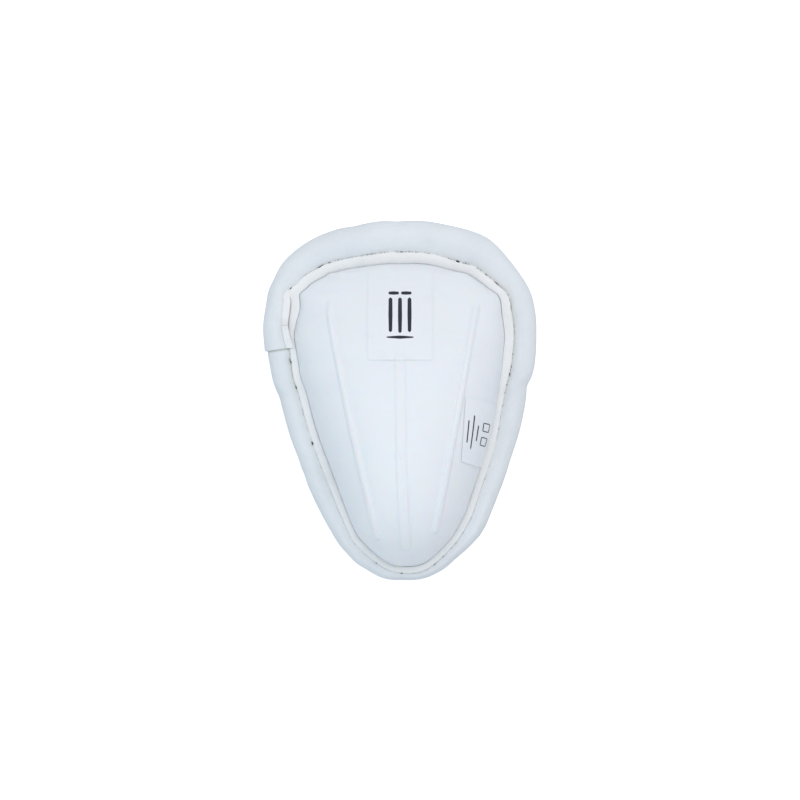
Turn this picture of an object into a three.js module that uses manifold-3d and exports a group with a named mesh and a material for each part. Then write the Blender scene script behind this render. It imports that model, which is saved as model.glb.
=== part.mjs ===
import * as THREE from 'three';
import { mergeVertices } from 'three/addons/utils/BufferGeometryUtils.js';
import Module from 'manifold-3d';

// Cricket abdominal guard: a moulded cup with ribs, a padded roll round its flange, a binding strip and two labels.
// Millimetres, +Z up. It lies dome up on its roll: X across, +Y towards the wide waist end. The origin is on the
// floor, under the middle of the outline.

// Overall sizes
const LENGTH = 176;
const WIDTH = 134;
const HEIGHT = 59;

// Moulded cup
const CUP_WALL = 2.4;
const FLANGE_THICKNESS = 2.2;
const FLANGE_LIFT_WAIST = 8.5;
const FLANGE_LIFT_TIP = 12.5;
const CROWN_FROM_MIDDLE = -28;
const RIB_WIDTH = 3.6;
const RIB_HEIGHT = 1.2;
const RIB_ROOT = 1.0;
const CENTRE_RIB_WIDTH = 5.4;
const CENTRE_RIB_HEIGHT = 0.8;

// Padded roll
const ROLL_WIDTH = 16;
const ROLL_LIP = 1.6;
const ROLL_TUCK = 9;
const ROLL_CORNER = 4;
const LAP_STEP = 1.5;
const LAP_LENGTH = 30;
const LAP_FROM_WAIST = 64;

// Binding strip and its loose end
const STRIP_WIDTH = 5;
const STRIP_HEIGHT = 2.2;
const TAIL_LENGTH = 30;
const TAIL_WIDTH = 3.4;
const TAIL_THICKNESS = 1.3;

// Labels
const FILM_THICKNESS = 0.3;
const FRONT_LABEL_WIDTH = 31;
const FRONT_LABEL_LENGTH = 44;
const FRONT_LABEL_FROM_BINDING = 3.9;
const SIDE_LABEL_LENGTH = 31;
const SIDE_LABEL_FROM_WAIST = 86.5;
const SIDE_LABEL_SLANT = 3.5;
const SIDE_LABEL_REACH = 0.95;
const SIDE_LABEL_DROP = 4;

// Clearance between pieces that touch
const GAP = 0.3;

// Finishes
const PVC = { color: 0xe9f1f6, roughness: 0.32, metalness: 0 };
const LEATHERCLOTH = { color: 0xe3e9ee, roughness: 0.55, metalness: 0 };
const BINDING_CLOTH = { color: 0xe8ecec, roughness: 0.6, metalness: 0 };
const FILM = { color: 0xf0f3f9, roughness: 0.25, metalness: 0 };

// Number of facets. MOUTH_SAMPLES is a whole number of times SPOKES.
const STATIONS = 72;
const SPOKES = 64;
const OUTER_RINGS = 13;
const INNER_RINGS = 11;
const MOUTH_SAMPLES = 5 * SPOKES;
const PERIMETER_SAMPLES = 1200;
const RIB_STEPS = 14;
const TAIL_STEPS = 12;
const FRONT_LABEL_CELLS = { across: 6, along: 9 };
const SIDE_LABEL_CELLS = { across: 6, along: 6 };

// Shape of the sections, as shares: how far the flange reaches under the roll, where the roll is widest and highest,
// how much its crown rises above its lip for each millimetre seen, how far it has fallen halfway down to the lip, and
// where the strip's rounded shoulder starts
const GRIP_SHARE = 0.35;
const ROLL_WIDEST = 0.45;
const ROLL_HIGHEST = 0.5;
const CROWN_RISE = 0.2;
const ROLL_FALL = 0.3;
const STRIP_SHOULDER = 0.65;
const RIB_SECTION = [[-1, 0], [-0.75, 0.6], [-0.3, 1], [0.3, 1], [0.75, 0.6], [1, 0]];
const RIB_END = { start: 0.3, step: 0.35 };
const QUARTER_ARC = [30, 60, 90].map(THREE.MathUtils.degToRad);

// Sections of the rim, clockwise from the waist end seen from above. x and y place the outline as shares of half
// the width and half the length, and roll and strip are seen widths as shares of ROLL_WIDTH and STRIP_WIDTH.
const RIM = [
  { x: 0.00, y: 1.00, roll: 0.98, strip: 1.08 },
  { x: 0.25, y: 0.99, roll: 0.98, strip: 1.02 },
  { x: 0.55, y: 0.935, roll: 1.04, strip: 0.92 },
  { x: 0.715, y: 0.855, roll: 0.92, strip: 0.92 },
  { x: 0.92, y: 0.655, roll: 0.71, strip: 0.84 },
  { x: 0.985, y: 0.52, roll: 0.74, strip: 0.92 },
  { x: 1.00, y: 0.36, roll: 0.71, strip: 0.92 },
  { x: 0.985, y: 0.19, roll: 0.72, strip: 0.88 },
  { x: 0.935, y: 0.055, roll: 0.66, strip: 0.74 },
  { x: 0.86, y: -0.21, roll: 0.60, strip: 0.74 },
  { x: 0.675, y: -0.61, roll: 0.53, strip: 0.72 },
  { x: 0.595, y: -0.74, roll: 0.50, strip: 0.74 },
  { x: 0.445, y: -0.86, roll: 0.36, strip: 0.66 },
  { x: 0.22, y: -0.98, roll: 0.24, strip: 0.68 },
  { x: 0.02, y: -1.00, roll: 0.21, strip: 0.68 },
  { x: -0.16, y: -0.98, roll: 0.32, strip: 0.66 },
  { x: -0.38, y: -0.86, roll: 0.38, strip: 0.72 },
  { x: -0.50, y: -0.74, roll: 0.48, strip: 0.70 },
  { x: -0.67, y: -0.48, roll: 0.58, strip: 0.82 },
  { x: -0.80, y: -0.21, roll: 0.59, strip: 0.78 },
  { x: -0.875, y: -0.01, roll: 0.61, strip: 0.76 },
  { x: -0.935, y: 0.12, roll: 0.65, strip: 0.70 },
  { x: -0.98, y: 0.36, roll: 0.70, strip: 0.84 },
  { x: -0.975, y: 0.52, roll: 0.74, strip: 0.88 },
  { x: -0.93, y: 0.655, roll: 0.68, strip: 0.95 },
  { x: -0.83, y: 0.79, roll: 0.80, strip: 1.00 },
  { x: -0.575, y: 0.92, roll: 0.91, strip: 1.00 },
  { x: -0.20, y: 0.99, roll: 0.98, strip: 1.04 },
];

// How the cup falls from its crown line to the flange towards each side: flat keeps the middle level, and plunge
// below 1 stands the wall up where it meets the flange.
const FALL = {
  waist: { flat: 1.9, plunge: 0.8 },
  side: { flat: 2.9, plunge: 0.6 },
  tip: { flat: 2.8, plunge: 0.6 },
};

// Ribs, as shares of half the width and half the length, from the waist end down to the tip
const RIBS = [
  { top: [-0.50, 0.54], bend: [-0.345, -0.17], foot: [-0.16, -0.77] },
  { top: [0.555, 0.53], bend: [0.385, -0.19], foot: [0.25, -0.735] },
];
const CENTRE_RIB = { bend: [0.01, -0.35], foot: [0.04, -0.83] };

// The binding's loose end, from its fold at the upper corner down to its cut: how far it lies from the seam towards
// the roll, as a share of its own width
const TAIL_ROUTE = [
  { along: 1.00, over: 0.58 },
  { along: 0.72, over: 0.66 },
  { along: 0.45, over: 0.55 },
  { along: 0.25, over: 0.30 },
  { along: 0.00, over: -0.10 },
];

// Share of the rim on each side whose chord gives the way across it
const CHORD_SPAN = 0.035;

const wasm = await Module();
wasm.setup();

// Rim

function closedCurve(points) {
  const curve = new THREE.CatmullRomCurve3(points, true, 'catmullrom', 0.5);
  curve.arcLengthDivisions = PERIMETER_SAMPLES;
  return curve;
}

const outline = closedCurve(RIM.map((row) => new THREE.Vector3(row.x * WIDTH / 2, row.y * LENGTH / 2, 0)));
const rimSizes = closedCurve(RIM.map((row) => new THREE.Vector3(row.roll * ROLL_WIDTH, row.strip * STRIP_WIDTH, 0)));
const PERIMETER = outline.getLength();

// The flange is flat and leans down a little towards the waist end
function flangeUnderside(y) {
  return THREE.MathUtils.mapLinear(y, -LENGTH / 2, LENGTH / 2, FLANGE_LIFT_TIP, FLANGE_LIFT_WAIST);
}

function flangeTop(y) {
  return flangeUnderside(y) + FLANGE_THICKNESS;
}

function rimAt(share) {
  const around = (value) => outline.getUtoTmapping(THREE.MathUtils.euclideanModulo(value, 1));
  const chord = outline.getPoint(around(share + CHORD_SPAN)).sub(outline.getPoint(around(share - CHORD_SPAN)));
  const sizes = rimSizes.getPoint(around(share));
  return {
    share,
    edge: outline.getPoint(around(share)),
    inward: new THREE.Vector3(chord.y, -chord.x, 0).normalize(),
    roll: sizes.x,
    strip: sizes.y,
  };
}

function rimPoint(rim, across, z) {
  return rim.edge.clone().addScaledVector(rim.inward, across).setZ(z);
}

// Heights just clear of the flange, above and below it, at a distance in from the outline
function clearAbove(rim, across) {
  return flangeTop(rim.edge.y + rim.inward.y * across) + GAP;
}

function clearBelow(rim, across) {
  return flangeUnderside(rim.edge.y + rim.inward.y * across) - GAP;
}

// Share of the rim at which its left side crosses a given y
function leftShareAt(y) {
  let share = 1;
  while (outline.getPointAt(share).y > y) {
    share -= 1 / PERIMETER_SAMPLES;
  }
  return share;
}

const LAP_SHARE = leftShareAt(LENGTH / 2 - LAP_FROM_WAIST);

function lapSwell(share) {
  const beyond = (share - LAP_SHARE) * PERIMETER;
  return beyond < 0 ? 0 : LAP_STEP * Math.max(0, 1 - beyond / LAP_LENGTH);
}

// Cup surface

// A dome over the cup's mouth, drawn in by an inset, from a flat base up to the height of its crown line. It gives
// the plan of its rim and its height over any point of the plan.
function makeDome(inset, top, baseAt) {
  const edge = Array.from({ length: MOUTH_SAMPLES }, (_, i) => {
    const rim = rimAt(i / MOUTH_SAMPLES);
    return rimPoint(rim, rim.roll + rim.strip + inset, 0);
  });
  const waistY = Math.max(...edge.map((point) => point.y));
  const tipY = Math.min(...edge.map((point) => point.y));
  const fall = (share, { flat, plunge }) => (1 - Math.min(1, Math.abs(share)) ** flat) ** plunge;

  function edgeX(y, side) {
    for (let i = 0; i < MOUTH_SAMPLES; i += 1) {
      const from = edge[i];
      const to = edge[(i + 1) % MOUTH_SAMPLES];
      if ((from.y - y) * (to.y - y) <= 0 && from.y !== to.y && from.x * side >= 0) {
        return THREE.MathUtils.mapLinear(y, from.y, to.y, from.x, to.x);
      }
    }
    return side;
  }

  function heightAt(x, y) {
    const end = y > CROWN_FROM_MIDDLE ? waistY : tipY;
    const lengthwise = fall((y - CROWN_FROM_MIDDLE) / (end - CROWN_FROM_MIDDLE), end > 0 ? FALL.waist : FALL.tip);
    const sideways = fall(x / edgeX(y, Math.sign(x) || 1), FALL.side);
    return baseAt(y) + (top - baseAt(CROWN_FROM_MIDDLE)) * lengthwise * sideways;
  }

  function spokePoint(index, spokes, share) {
    const foot = edge[index * MOUTH_SAMPLES / spokes];
    const x = foot.x * share;
    const y = THREE.MathUtils.lerp(CROWN_FROM_MIDDLE, foot.y, share);
    return new THREE.Vector3(x, y, share < 1 ? heightAt(x, y) : baseAt(y));
  }

  return { waistY, edgeX, heightAt, spokePoint };
}

const outerDome = makeDome(0, HEIGHT, flangeTop);
const hollow = makeDome(CUP_WALL, HEIGHT - CUP_WALL, flangeUnderside);

// Point on the cup with the outward normal there
function cupFrame(x, y) {
  const step = 0.2;
  const slopeX = (outerDome.heightAt(x + step, y) - outerDome.heightAt(x - step, y)) / (2 * step);
  const slopeY = (outerDome.heightAt(x, y + step) - outerDome.heightAt(x, y - step)) / (2 * step);
  return {
    point: new THREE.Vector3(x, y, outerDome.heightAt(x, y)),
    normal: new THREE.Vector3(-slopeX, -slopeY, 1).normalize(),
  };
}

// Mesh building

// Joins rings of equal length one after the other. A closed body runs back to its first ring, and an open one is
// capped: with a fan to the given points, or as a ladder between the two long sides of a thin ring.
function sweep(rings, { closed = false, fanTo = null } = {}) {
  const count = rings[0].length;
  const vertices = rings.flat();
  const triangles = [];
  const last = rings.length - (closed ? 0 : 1);
  for (let r = 0; r < last; r += 1) {
    const here = r * count;
    const next = ((r + 1) % rings.length) * count;
    for (let i = 0; i < count; i += 1) {
      const j = (i + 1) % count;
      triangles.push([here + i, here + j, next + j], [here + i, next + j, next + i]);
    }
  }
  if (!closed) {
    addCap(triangles, vertices, 0, count, true, fanTo && fanTo[0]);
    addCap(triangles, vertices, (rings.length - 1) * count, count, false, fanTo && fanTo[1]);
  }
  return meshGeometry(vertices, triangles);
}

function addCap(triangles, vertices, start, count, reversed, centre) {
  const push = (a, b, c) => triangles.push(reversed ? [c, b, a] : [a, b, c]);
  if (centre) {
    const hub = vertices.push(centre) - 1;
    for (let i = 0; i < count; i += 1) {
      push(start + i, start + ((i + 1) % count), hub);
    }
    return;
  }
  for (let i = 0; i < count / 2 - 1; i += 1) {
    const far = count - 1 - i;
    push(start + i, start + i + 1, start + far);
    if (i + 1 < far - 1) {
      push(start + i + 1, start + far - 1, start + far);
    }
  }
}

// Geometry with its faces turned outwards
function meshGeometry(vertices, triangles) {
  const volume = triangles.reduce(
    (sum, [a, b, c]) => sum + vertices[a].dot(vertices[b].clone().cross(vertices[c])),
    0,
  );
  const faces = volume < 0 ? triangles.map(([a, b, c]) => [c, b, a]) : triangles;
  const geometry = new THREE.BufferGeometry();
  geometry.setAttribute('position', new THREE.Float32BufferAttribute(vertices.flatMap((v) => v.toArray()), 3));
  geometry.setIndex(faces.flat());
  return mergeVertices(geometry, 1e-5);
}

function toSolid(geometry) {
  return new wasm.Manifold(new wasm.Mesh({
    numProp: 3,
    vertProperties: new Float32Array(geometry.attributes.position.array),
    triVerts: new Uint32Array(geometry.index.array),
  }));
}

function toGeometry(solid) {
  const mesh = solid.getMesh();
  const geometry = new THREE.BufferGeometry();
  geometry.setAttribute('position', new THREE.BufferAttribute(new Float32Array(mesh.vertProperties), 3));
  geometry.setIndex(new THREE.BufferAttribute(new Uint32Array(mesh.triVerts), 1));
  return geometry;
}

// Moulded cup with its flange and ribs

function flangeReach(rim) {
  return rim.roll * (1 - GRIP_SHARE);
}

function cupBody() {
  const spokes = Array.from({ length: SPOKES }, (_, i) => i);
  const ring = (dome, share) => spokes.map((spoke) => dome.spokePoint(spoke, SPOKES, share));
  const flangeRing = (heightAt) => spokes.map((spoke) => {
    const rim = rimAt(spoke / SPOKES);
    const point = rimPoint(rim, flangeReach(rim), 0);
    return point.setZ(heightAt(point.y));
  });
  const rings = [];
  for (let k = 1; k <= OUTER_RINGS; k += 1) {
    rings.push(ring(outerDome, Math.sin(k / OUTER_RINGS * Math.PI / 2)));
  }
  rings.push(flangeRing(flangeTop), flangeRing(flangeUnderside));
  for (let k = INNER_RINGS; k >= 1; k -= 1) {
    rings.push(ring(hollow, Math.sin(k / INNER_RINGS * Math.PI / 2)));
  }
  return sweep(rings, { fanTo: [outerDome.spokePoint(0, SPOKES, 0), hollow.spokePoint(0, SPOKES, 0)] });
}

// A raised rib along a route over the cup, rounded on top and at both ends
function ribBody(route, width, height) {
  const rings = [];
  for (let i = 0; i <= RIB_STEPS; i += 1) {
    const share = i / RIB_STEPS;
    const place = route.getPoint(share);
    const { point, normal } = cupFrame(place.x, place.y);
    const heading = route.getTangent(share);
    const side = normal.clone().cross(heading).normalize();
    const end = Math.min(1, RIB_END.start + RIB_END.step * Math.min(i, RIB_STEPS - i));
    const half = width / 2 * end;
    const section = RIB_SECTION.map(([across, up]) => [across * half, up * height * end]);
    section.push([half, -RIB_ROOT], [-half, -RIB_ROOT]);
    rings.push(section.map(([across, up]) => point.clone().addScaledVector(side, across).addScaledVector(normal, up)));
  }
  return sweep(rings);
}

function planPoint([x, y]) {
  return new THREE.Vector3(x * WIDTH / 2, y * LENGTH / 2, 0);
}

function ribRoute({ top, bend, foot }) {
  return new THREE.CatmullRomCurve3([top, bend, foot].map(planPoint));
}

function shellGeometry() {
  const labelFoot = frontLabelPlace(0, 1)[1];
  const centreRoute = ribRoute({ ...CENTRE_RIB, top: [0, (labelFoot - GAP) / (LENGTH / 2)] });
  let solid = toSolid(cupBody());
  for (const rib of RIBS) {
    solid = solid.add(toSolid(ribBody(ribRoute(rib), RIB_WIDTH, RIB_HEIGHT)));
  }
  return toGeometry(solid.add(toSolid(ribBody(centreRoute, CENTRE_RIB_WIDTH, CENTRE_RIB_HEIGHT))));
}

// Padded roll

// Section of the roll as [across, z], from its flat foot round the outside, over the crown and into the slot that
// grips the flange
function rollSection(rim, swell) {
  const slotEnd = flangeReach(rim) - GAP;
  const lipTop = clearAbove(rim, rim.roll) + ROLL_LIP;
  const crownHeight = lipTop + CROWN_RISE * rim.roll + swell;
  const waistHeight = ROLL_WIDEST * crownHeight;
  const crownAcross = ROLL_HIGHEST * rim.roll;
  const inner = rim.roll + rim.strip + ROLL_TUCK * Math.max(0, 1 - rim.roll / ROLL_WIDTH);
  const section = [[inner - ROLL_CORNER, 0], [ROLL_CORNER - swell, 0]];
  for (const turn of QUARTER_ARC) {
    section.push([ROLL_CORNER * (1 - Math.sin(turn)) - swell, waistHeight * (1 - Math.cos(turn))]);
  }
  for (const turn of QUARTER_ARC) {
    section.push([
      (crownAcross + swell) * (1 - Math.cos(turn)) - swell,
      waistHeight + (crownHeight - waistHeight) * Math.sin(turn),
    ]);
  }
  section.push([(crownAcross + rim.roll) / 2, THREE.MathUtils.lerp(crownHeight, lipTop, ROLL_FALL)]);
  section.push([rim.roll, lipTop]);
  section.push([rim.roll, clearAbove(rim, rim.roll)]);
  section.push([slotEnd, clearAbove(rim, slotEnd)]);
  section.push([slotEnd, clearBelow(rim, slotEnd)]);
  section.push([inner - ROLL_CORNER / 2, clearBelow(rim, inner)]);
  section.push([inner, clearBelow(rim, inner) / 2]);
  section.push([inner - ROLL_CORNER / 4, clearBelow(rim, inner) / 6]);
  return section;
}

function rollRing(rim, swell) {
  return rollSection(rim, swell).map(([across, z]) => rimPoint(rim, across, z));
}

function rollGeometry() {
  const rings = [];
  for (let i = 0; i < STATIONS; i += 1) {
    const share = LAP_SHARE + i / STATIONS;
    rings.push(rollRing(rimAt(share), lapSwell(share)));
  }
  rings.push(rollRing(rimAt(LAP_SHARE + 1 - GAP / PERIMETER), 0));
  return sweep(rings, { closed: true });
}

// Binding strip

function stripRing(rim) {
  const outer = rim.roll + GAP;
  const inner = rim.roll + rim.strip - GAP;
  const shoulder = STRIP_SHOULDER * STRIP_HEIGHT;
  return [
    [outer, 0], [inner, 0], [inner, shoulder],
    [inner - rim.strip / 4, STRIP_HEIGHT], [outer + rim.strip / 4, STRIP_HEIGHT], [outer, shoulder],
  ].map(([across, height]) => rimPoint(rim, across, clearAbove(rim, across) + height));
}

function stripGeometry() {
  const rings = Array.from({ length: STATIONS }, (_, i) => stripRing(rimAt(LAP_SHARE + i / STATIONS)));
  return sweep(rings, { closed: true });
}

// Height of whatever lies on top of the rim, at a distance in from the outline
function rimTop(rim, across) {
  if (across > rim.roll) {
    return clearAbove(rim, across) + STRIP_HEIGHT;
  }
  const upper = rollSection(rim, lapSwell(rim.share)).slice(4, 10);
  const next = upper.findIndex(([reach]) => reach >= across);
  const [fromAcross, fromZ] = upper[next - 1];
  const [toAcross, toZ] = upper[next];
  return THREE.MathUtils.mapLinear(across, fromAcross, toAcross, fromZ, toZ);
}

function tailGeometry() {
  const route = new THREE.CatmullRomCurve3(TAIL_ROUTE.map((row) => new THREE.Vector3(row.along, row.over, 0)));
  const half = TAIL_WIDTH / 2;
  const rings = [];
  for (let i = 0; i <= TAIL_STEPS; i += 1) {
    const place = route.getPoint(i / TAIL_STEPS);
    const rim = rimAt(LAP_SHARE + place.x * TAIL_LENGTH / PERIMETER);
    const middle = rim.roll - place.y * TAIL_WIDTH;
    const foot = Math.max(...[-half, 0, half].map((offset) => rimTop(rim, middle + offset))) + GAP;
    const top = foot + TAIL_THICKNESS;
    const ring = [
      [-half, foot], [-half, foot + TAIL_THICKNESS / 2], [-half / 2, top],
      [half / 2, top], [half, foot + TAIL_THICKNESS / 2], [half, foot],
    ];
    rings.push(ring.map(([offset, z]) => rimPoint(rim, middle + offset, z)));
  }
  return sweep(rings);
}

// Labels

// A film laid on the cup: place(across, along) gives its plan point for shares from 0 to 1
function filmGeometry(place, cells) {
  const rings = [];
  for (let row = 0; row <= cells.along; row += 1) {
    const frames = [];
    for (let column = 0; column <= cells.across; column += 1) {
      const [x, y] = place(column / cells.across, row / cells.along);
      frames.push(cupFrame(x, y));
    }
    const lift = ({ point, normal }, height) => point.clone().addScaledVector(normal, height);
    rings.push([
      ...frames.map((frame) => lift(frame, GAP + FILM_THICKNESS)),
      ...frames.toReversed().map((frame) => lift(frame, GAP)),
    ]);
  }
  return sweep(rings);
}

// The front label lies a little below the binding at the waist end, and both labels run down from their top edge
function frontLabelPlace(across, along) {
  const top = outerDome.waistY - FRONT_LABEL_FROM_BINDING;
  return [(across - 0.5) * FRONT_LABEL_WIDTH, top - along * FRONT_LABEL_LENGTH];
}

// The side label runs from the right rib's flank out to the foot of the wall
function sideLabelPlace(across, along) {
  const y = LENGTH / 2 - SIDE_LABEL_FROM_WAIST - along * SIDE_LABEL_LENGTH;
  const rib = ribRoute(RIBS[1]).getSpacedPoints(MOUTH_SAMPLES);
  const beside = rib.reduce((best, point) => (Math.abs(point.y - y) < Math.abs(best.y - y) ? point : best));
  const inner = beside.x + RIB_WIDTH / 2 + 2 * GAP + SIDE_LABEL_SLANT * along;
  const outer = outerDome.edgeX(y, 1) * SIDE_LABEL_REACH;
  return [THREE.MathUtils.lerp(inner, outer, across), y - SIDE_LABEL_DROP * across];
}

// Assembly

function piece(name, geometry, finish) {
  const mesh = new THREE.Mesh(geometry, new THREE.MeshStandardMaterial(finish));
  mesh.name = name;
  return mesh;
}

const guard = new THREE.Group();
guard.name = 'cricket_abdominal_guard';
guard.add(piece('shell', shellGeometry(), PVC));
guard.add(piece('padded_roll', rollGeometry(), LEATHERCLOTH));
guard.add(piece('edge_binding', stripGeometry(), BINDING_CLOTH));
guard.add(piece('binding_tail', tailGeometry(), BINDING_CLOTH));
guard.add(piece('front_label', filmGeometry(frontLabelPlace, FRONT_LABEL_CELLS), FILM));
guard.add(piece('side_label', filmGeometry(sideLabelPlace, SIDE_LABEL_CELLS), FILM));

export default guard;
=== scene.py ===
"""Looks of a cricket abdominal guard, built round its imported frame.

The guard is a moulded cup with three ribs, a padded roll round its flange, a binding strip between roll and
cup with one loose end, and two film labels. It lies dome up on the floor: X across, +Y to the wide waist end,
Z up.
"""
import logging
import math
from collections.abc import Callable, Sequence
from dataclasses import dataclass, field
from enum import Enum

import bmesh
import bpy
import numpy as np
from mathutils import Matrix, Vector, noise


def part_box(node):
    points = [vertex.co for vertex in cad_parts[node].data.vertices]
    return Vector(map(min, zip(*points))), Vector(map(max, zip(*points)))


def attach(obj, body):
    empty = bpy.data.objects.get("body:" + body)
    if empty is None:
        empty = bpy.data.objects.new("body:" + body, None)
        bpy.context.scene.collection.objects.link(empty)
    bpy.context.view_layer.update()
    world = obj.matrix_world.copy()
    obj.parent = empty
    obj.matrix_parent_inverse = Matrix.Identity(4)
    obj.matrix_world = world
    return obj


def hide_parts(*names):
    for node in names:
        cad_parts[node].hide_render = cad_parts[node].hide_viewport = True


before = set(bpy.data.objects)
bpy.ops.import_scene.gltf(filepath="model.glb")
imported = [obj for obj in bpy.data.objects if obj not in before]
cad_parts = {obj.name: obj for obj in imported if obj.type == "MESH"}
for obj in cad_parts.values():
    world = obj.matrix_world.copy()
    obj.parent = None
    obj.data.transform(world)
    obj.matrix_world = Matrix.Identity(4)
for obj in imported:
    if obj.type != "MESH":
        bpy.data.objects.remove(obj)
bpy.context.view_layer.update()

LOG = logging.getLogger("guard")
MM = 0.001
BODY = "root"
WHITE = (1.0, 1.0, 1.0, 1.0)

Array = np.ndarray
Colour = tuple[float, float, float]


def linear(red: float, green: float, blue: float) -> Colour:
    """Turns a colour as seen on a screen, each part from 0 to 255, into the linear one that a shader takes.

    Args:
        red: Red part.
        green: Green part.
        blue: Blue part.

    Returns:
        The linear colour.
    """
    parts = (value / 255 for value in (red, green, blue))
    return tuple(p / 12.92 if p <= 0.04045 else ((p + 0.055) / 1.055) ** 2.4 for p in parts)


def opaque(colour: Colour) -> tuple[float, float, float, float]:
    """Adds a full alpha to a colour."""
    return (*colour, 1.0)


def smooth_step(value: Array, low: float, high: float) -> Array:
    """Rises smoothly from 0 at low to 1 at high."""
    share = np.clip((value - low) / (high - low), 0, 1)
    return share * share * (3 - 2 * share)


def catmull_rom(values: Array, places: Array, closed: bool) -> Array:
    """Reads a smooth curve through rows of values.

    Args:
        values: Rows of values, one for each knot.
        places: Where to read, in knots from the first row.
        closed: Whether the last row runs on into the first.

    Returns:
        One row for each place.
    """
    count = len(values)
    if not closed:
        values = np.concatenate([2 * values[:1] - values[1:2], values, 2 * values[-1:] - values[-2:-1]])
        places = np.clip(places, 0, count - 1 - 1e-9) + 1
    whole = np.floor(places).astype(int)
    part = (places - whole).reshape(-1, *[1] * (values.ndim - 1))
    before, start, end, after = (values[(whole + step) % len(values)] for step in (-1, 0, 1, 2))
    leave, arrive = (end - before) / 2, (after - start) / 2
    square, cube = part**2, part**3
    return (
        (2 * cube - 3 * square + 1) * start
        + (cube - 2 * square + part) * leave
        + (3 * square - 2 * cube) * end
        + (cube - square) * arrive
    )


def rough(points: Array, size: float, seed: float) -> Array:
    """Reads a soft, even noise between about -1 and 1 at points in space.

    Args:
        points: Rows of x, y and z.
        size: How large its lumps are.
        seed: Shifts the noise, so that two uses differ.

    Returns:
        One value for each point.
    """
    shift = Vector((seed, seed, seed))
    return np.array([noise.noise(Vector(point) / size + shift) for point in points.tolist()])


@dataclass(frozen=True)
class RimRow:
    """A section of the rim: its place as shares of the half sizes, its widths as shares of the full ones."""

    x: float
    y: float
    roll: float
    strip: float


RIM_ROWS = (
    RimRow(0.00, 1.00, 0.98, 1.08),
    RimRow(0.25, 0.99, 0.98, 1.02),
    RimRow(0.55, 0.935, 1.04, 0.92),
    RimRow(0.715, 0.855, 0.92, 0.92),
    RimRow(0.92, 0.655, 0.71, 0.84),
    RimRow(0.985, 0.52, 0.74, 0.92),
    RimRow(1.00, 0.36, 0.71, 0.92),
    RimRow(0.985, 0.19, 0.72, 0.88),
    RimRow(0.935, 0.055, 0.66, 0.74),
    RimRow(0.86, -0.21, 0.60, 0.74),
    RimRow(0.675, -0.61, 0.53, 0.72),
    RimRow(0.595, -0.74, 0.50, 0.74),
    RimRow(0.445, -0.86, 0.36, 0.66),
    RimRow(0.22, -0.98, 0.24, 0.68),
    RimRow(0.02, -1.00, 0.21, 0.68),
    RimRow(-0.16, -0.98, 0.32, 0.66),
    RimRow(-0.38, -0.86, 0.38, 0.72),
    RimRow(-0.50, -0.74, 0.48, 0.70),
    RimRow(-0.67, -0.48, 0.58, 0.82),
    RimRow(-0.80, -0.21, 0.59, 0.78),
    RimRow(-0.875, -0.01, 0.61, 0.76),
    RimRow(-0.935, 0.12, 0.65, 0.70),
    RimRow(-0.98, 0.36, 0.70, 0.84),
    RimRow(-0.975, 0.52, 0.74, 0.88),
    RimRow(-0.93, 0.655, 0.68, 0.95),
    RimRow(-0.83, 0.79, 0.80, 1.00),
    RimRow(-0.575, 0.92, 0.91, 1.00),
    RimRow(-0.20, 0.99, 0.98, 1.04),
)


@dataclass(frozen=True)
class StripCorner:
    """A corner of the strip, in millimetres: where, how far seam and mouth stand out, and its length."""

    x: float
    y: float
    seam: float
    mouth: float
    length: float


STRIP_CORNERS = (
    StripCorner(60.5, 58.0, 0.3, 0.7, 12.0),
    StripCorner(-54.0, 53.5, 2.0, 1.3, 13.0),
    StripCorner(-37.5, 66.0, 0.3, 0.6, 10.0),
    StripCorner(62.7, 31.0, 0.0, 0.3, 12.0),
    StripCorner(-52.5, 31.5, 0.0, 1.8, 30.0),
    StripCorner(60.0, -9.0, -1.2, 0.0, 38.0),
)


@dataclass(frozen=True)
class RimSpan:
    """The rim at a run of places: its edge, the way inward from it, and the widths of roll and strip."""

    shares: Array
    edge: Array
    inward: Array
    roll: Array
    strip: Array

    def points(self, across: Array, z: Array) -> Array:
        """Points at distances in from the edge and at heights, both with a row for each place on the rim."""
        plan = self.edge[:, None, :] + self.inward[:, None, :] * across[..., None]
        return np.concatenate([plan, z[..., None]], axis=-1)

    def plan_y(self, across: Array) -> Array:
        """The y of points at distances in from the edge."""
        return self.edge[:, 1:] + self.inward[:, 1:] * across


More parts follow.
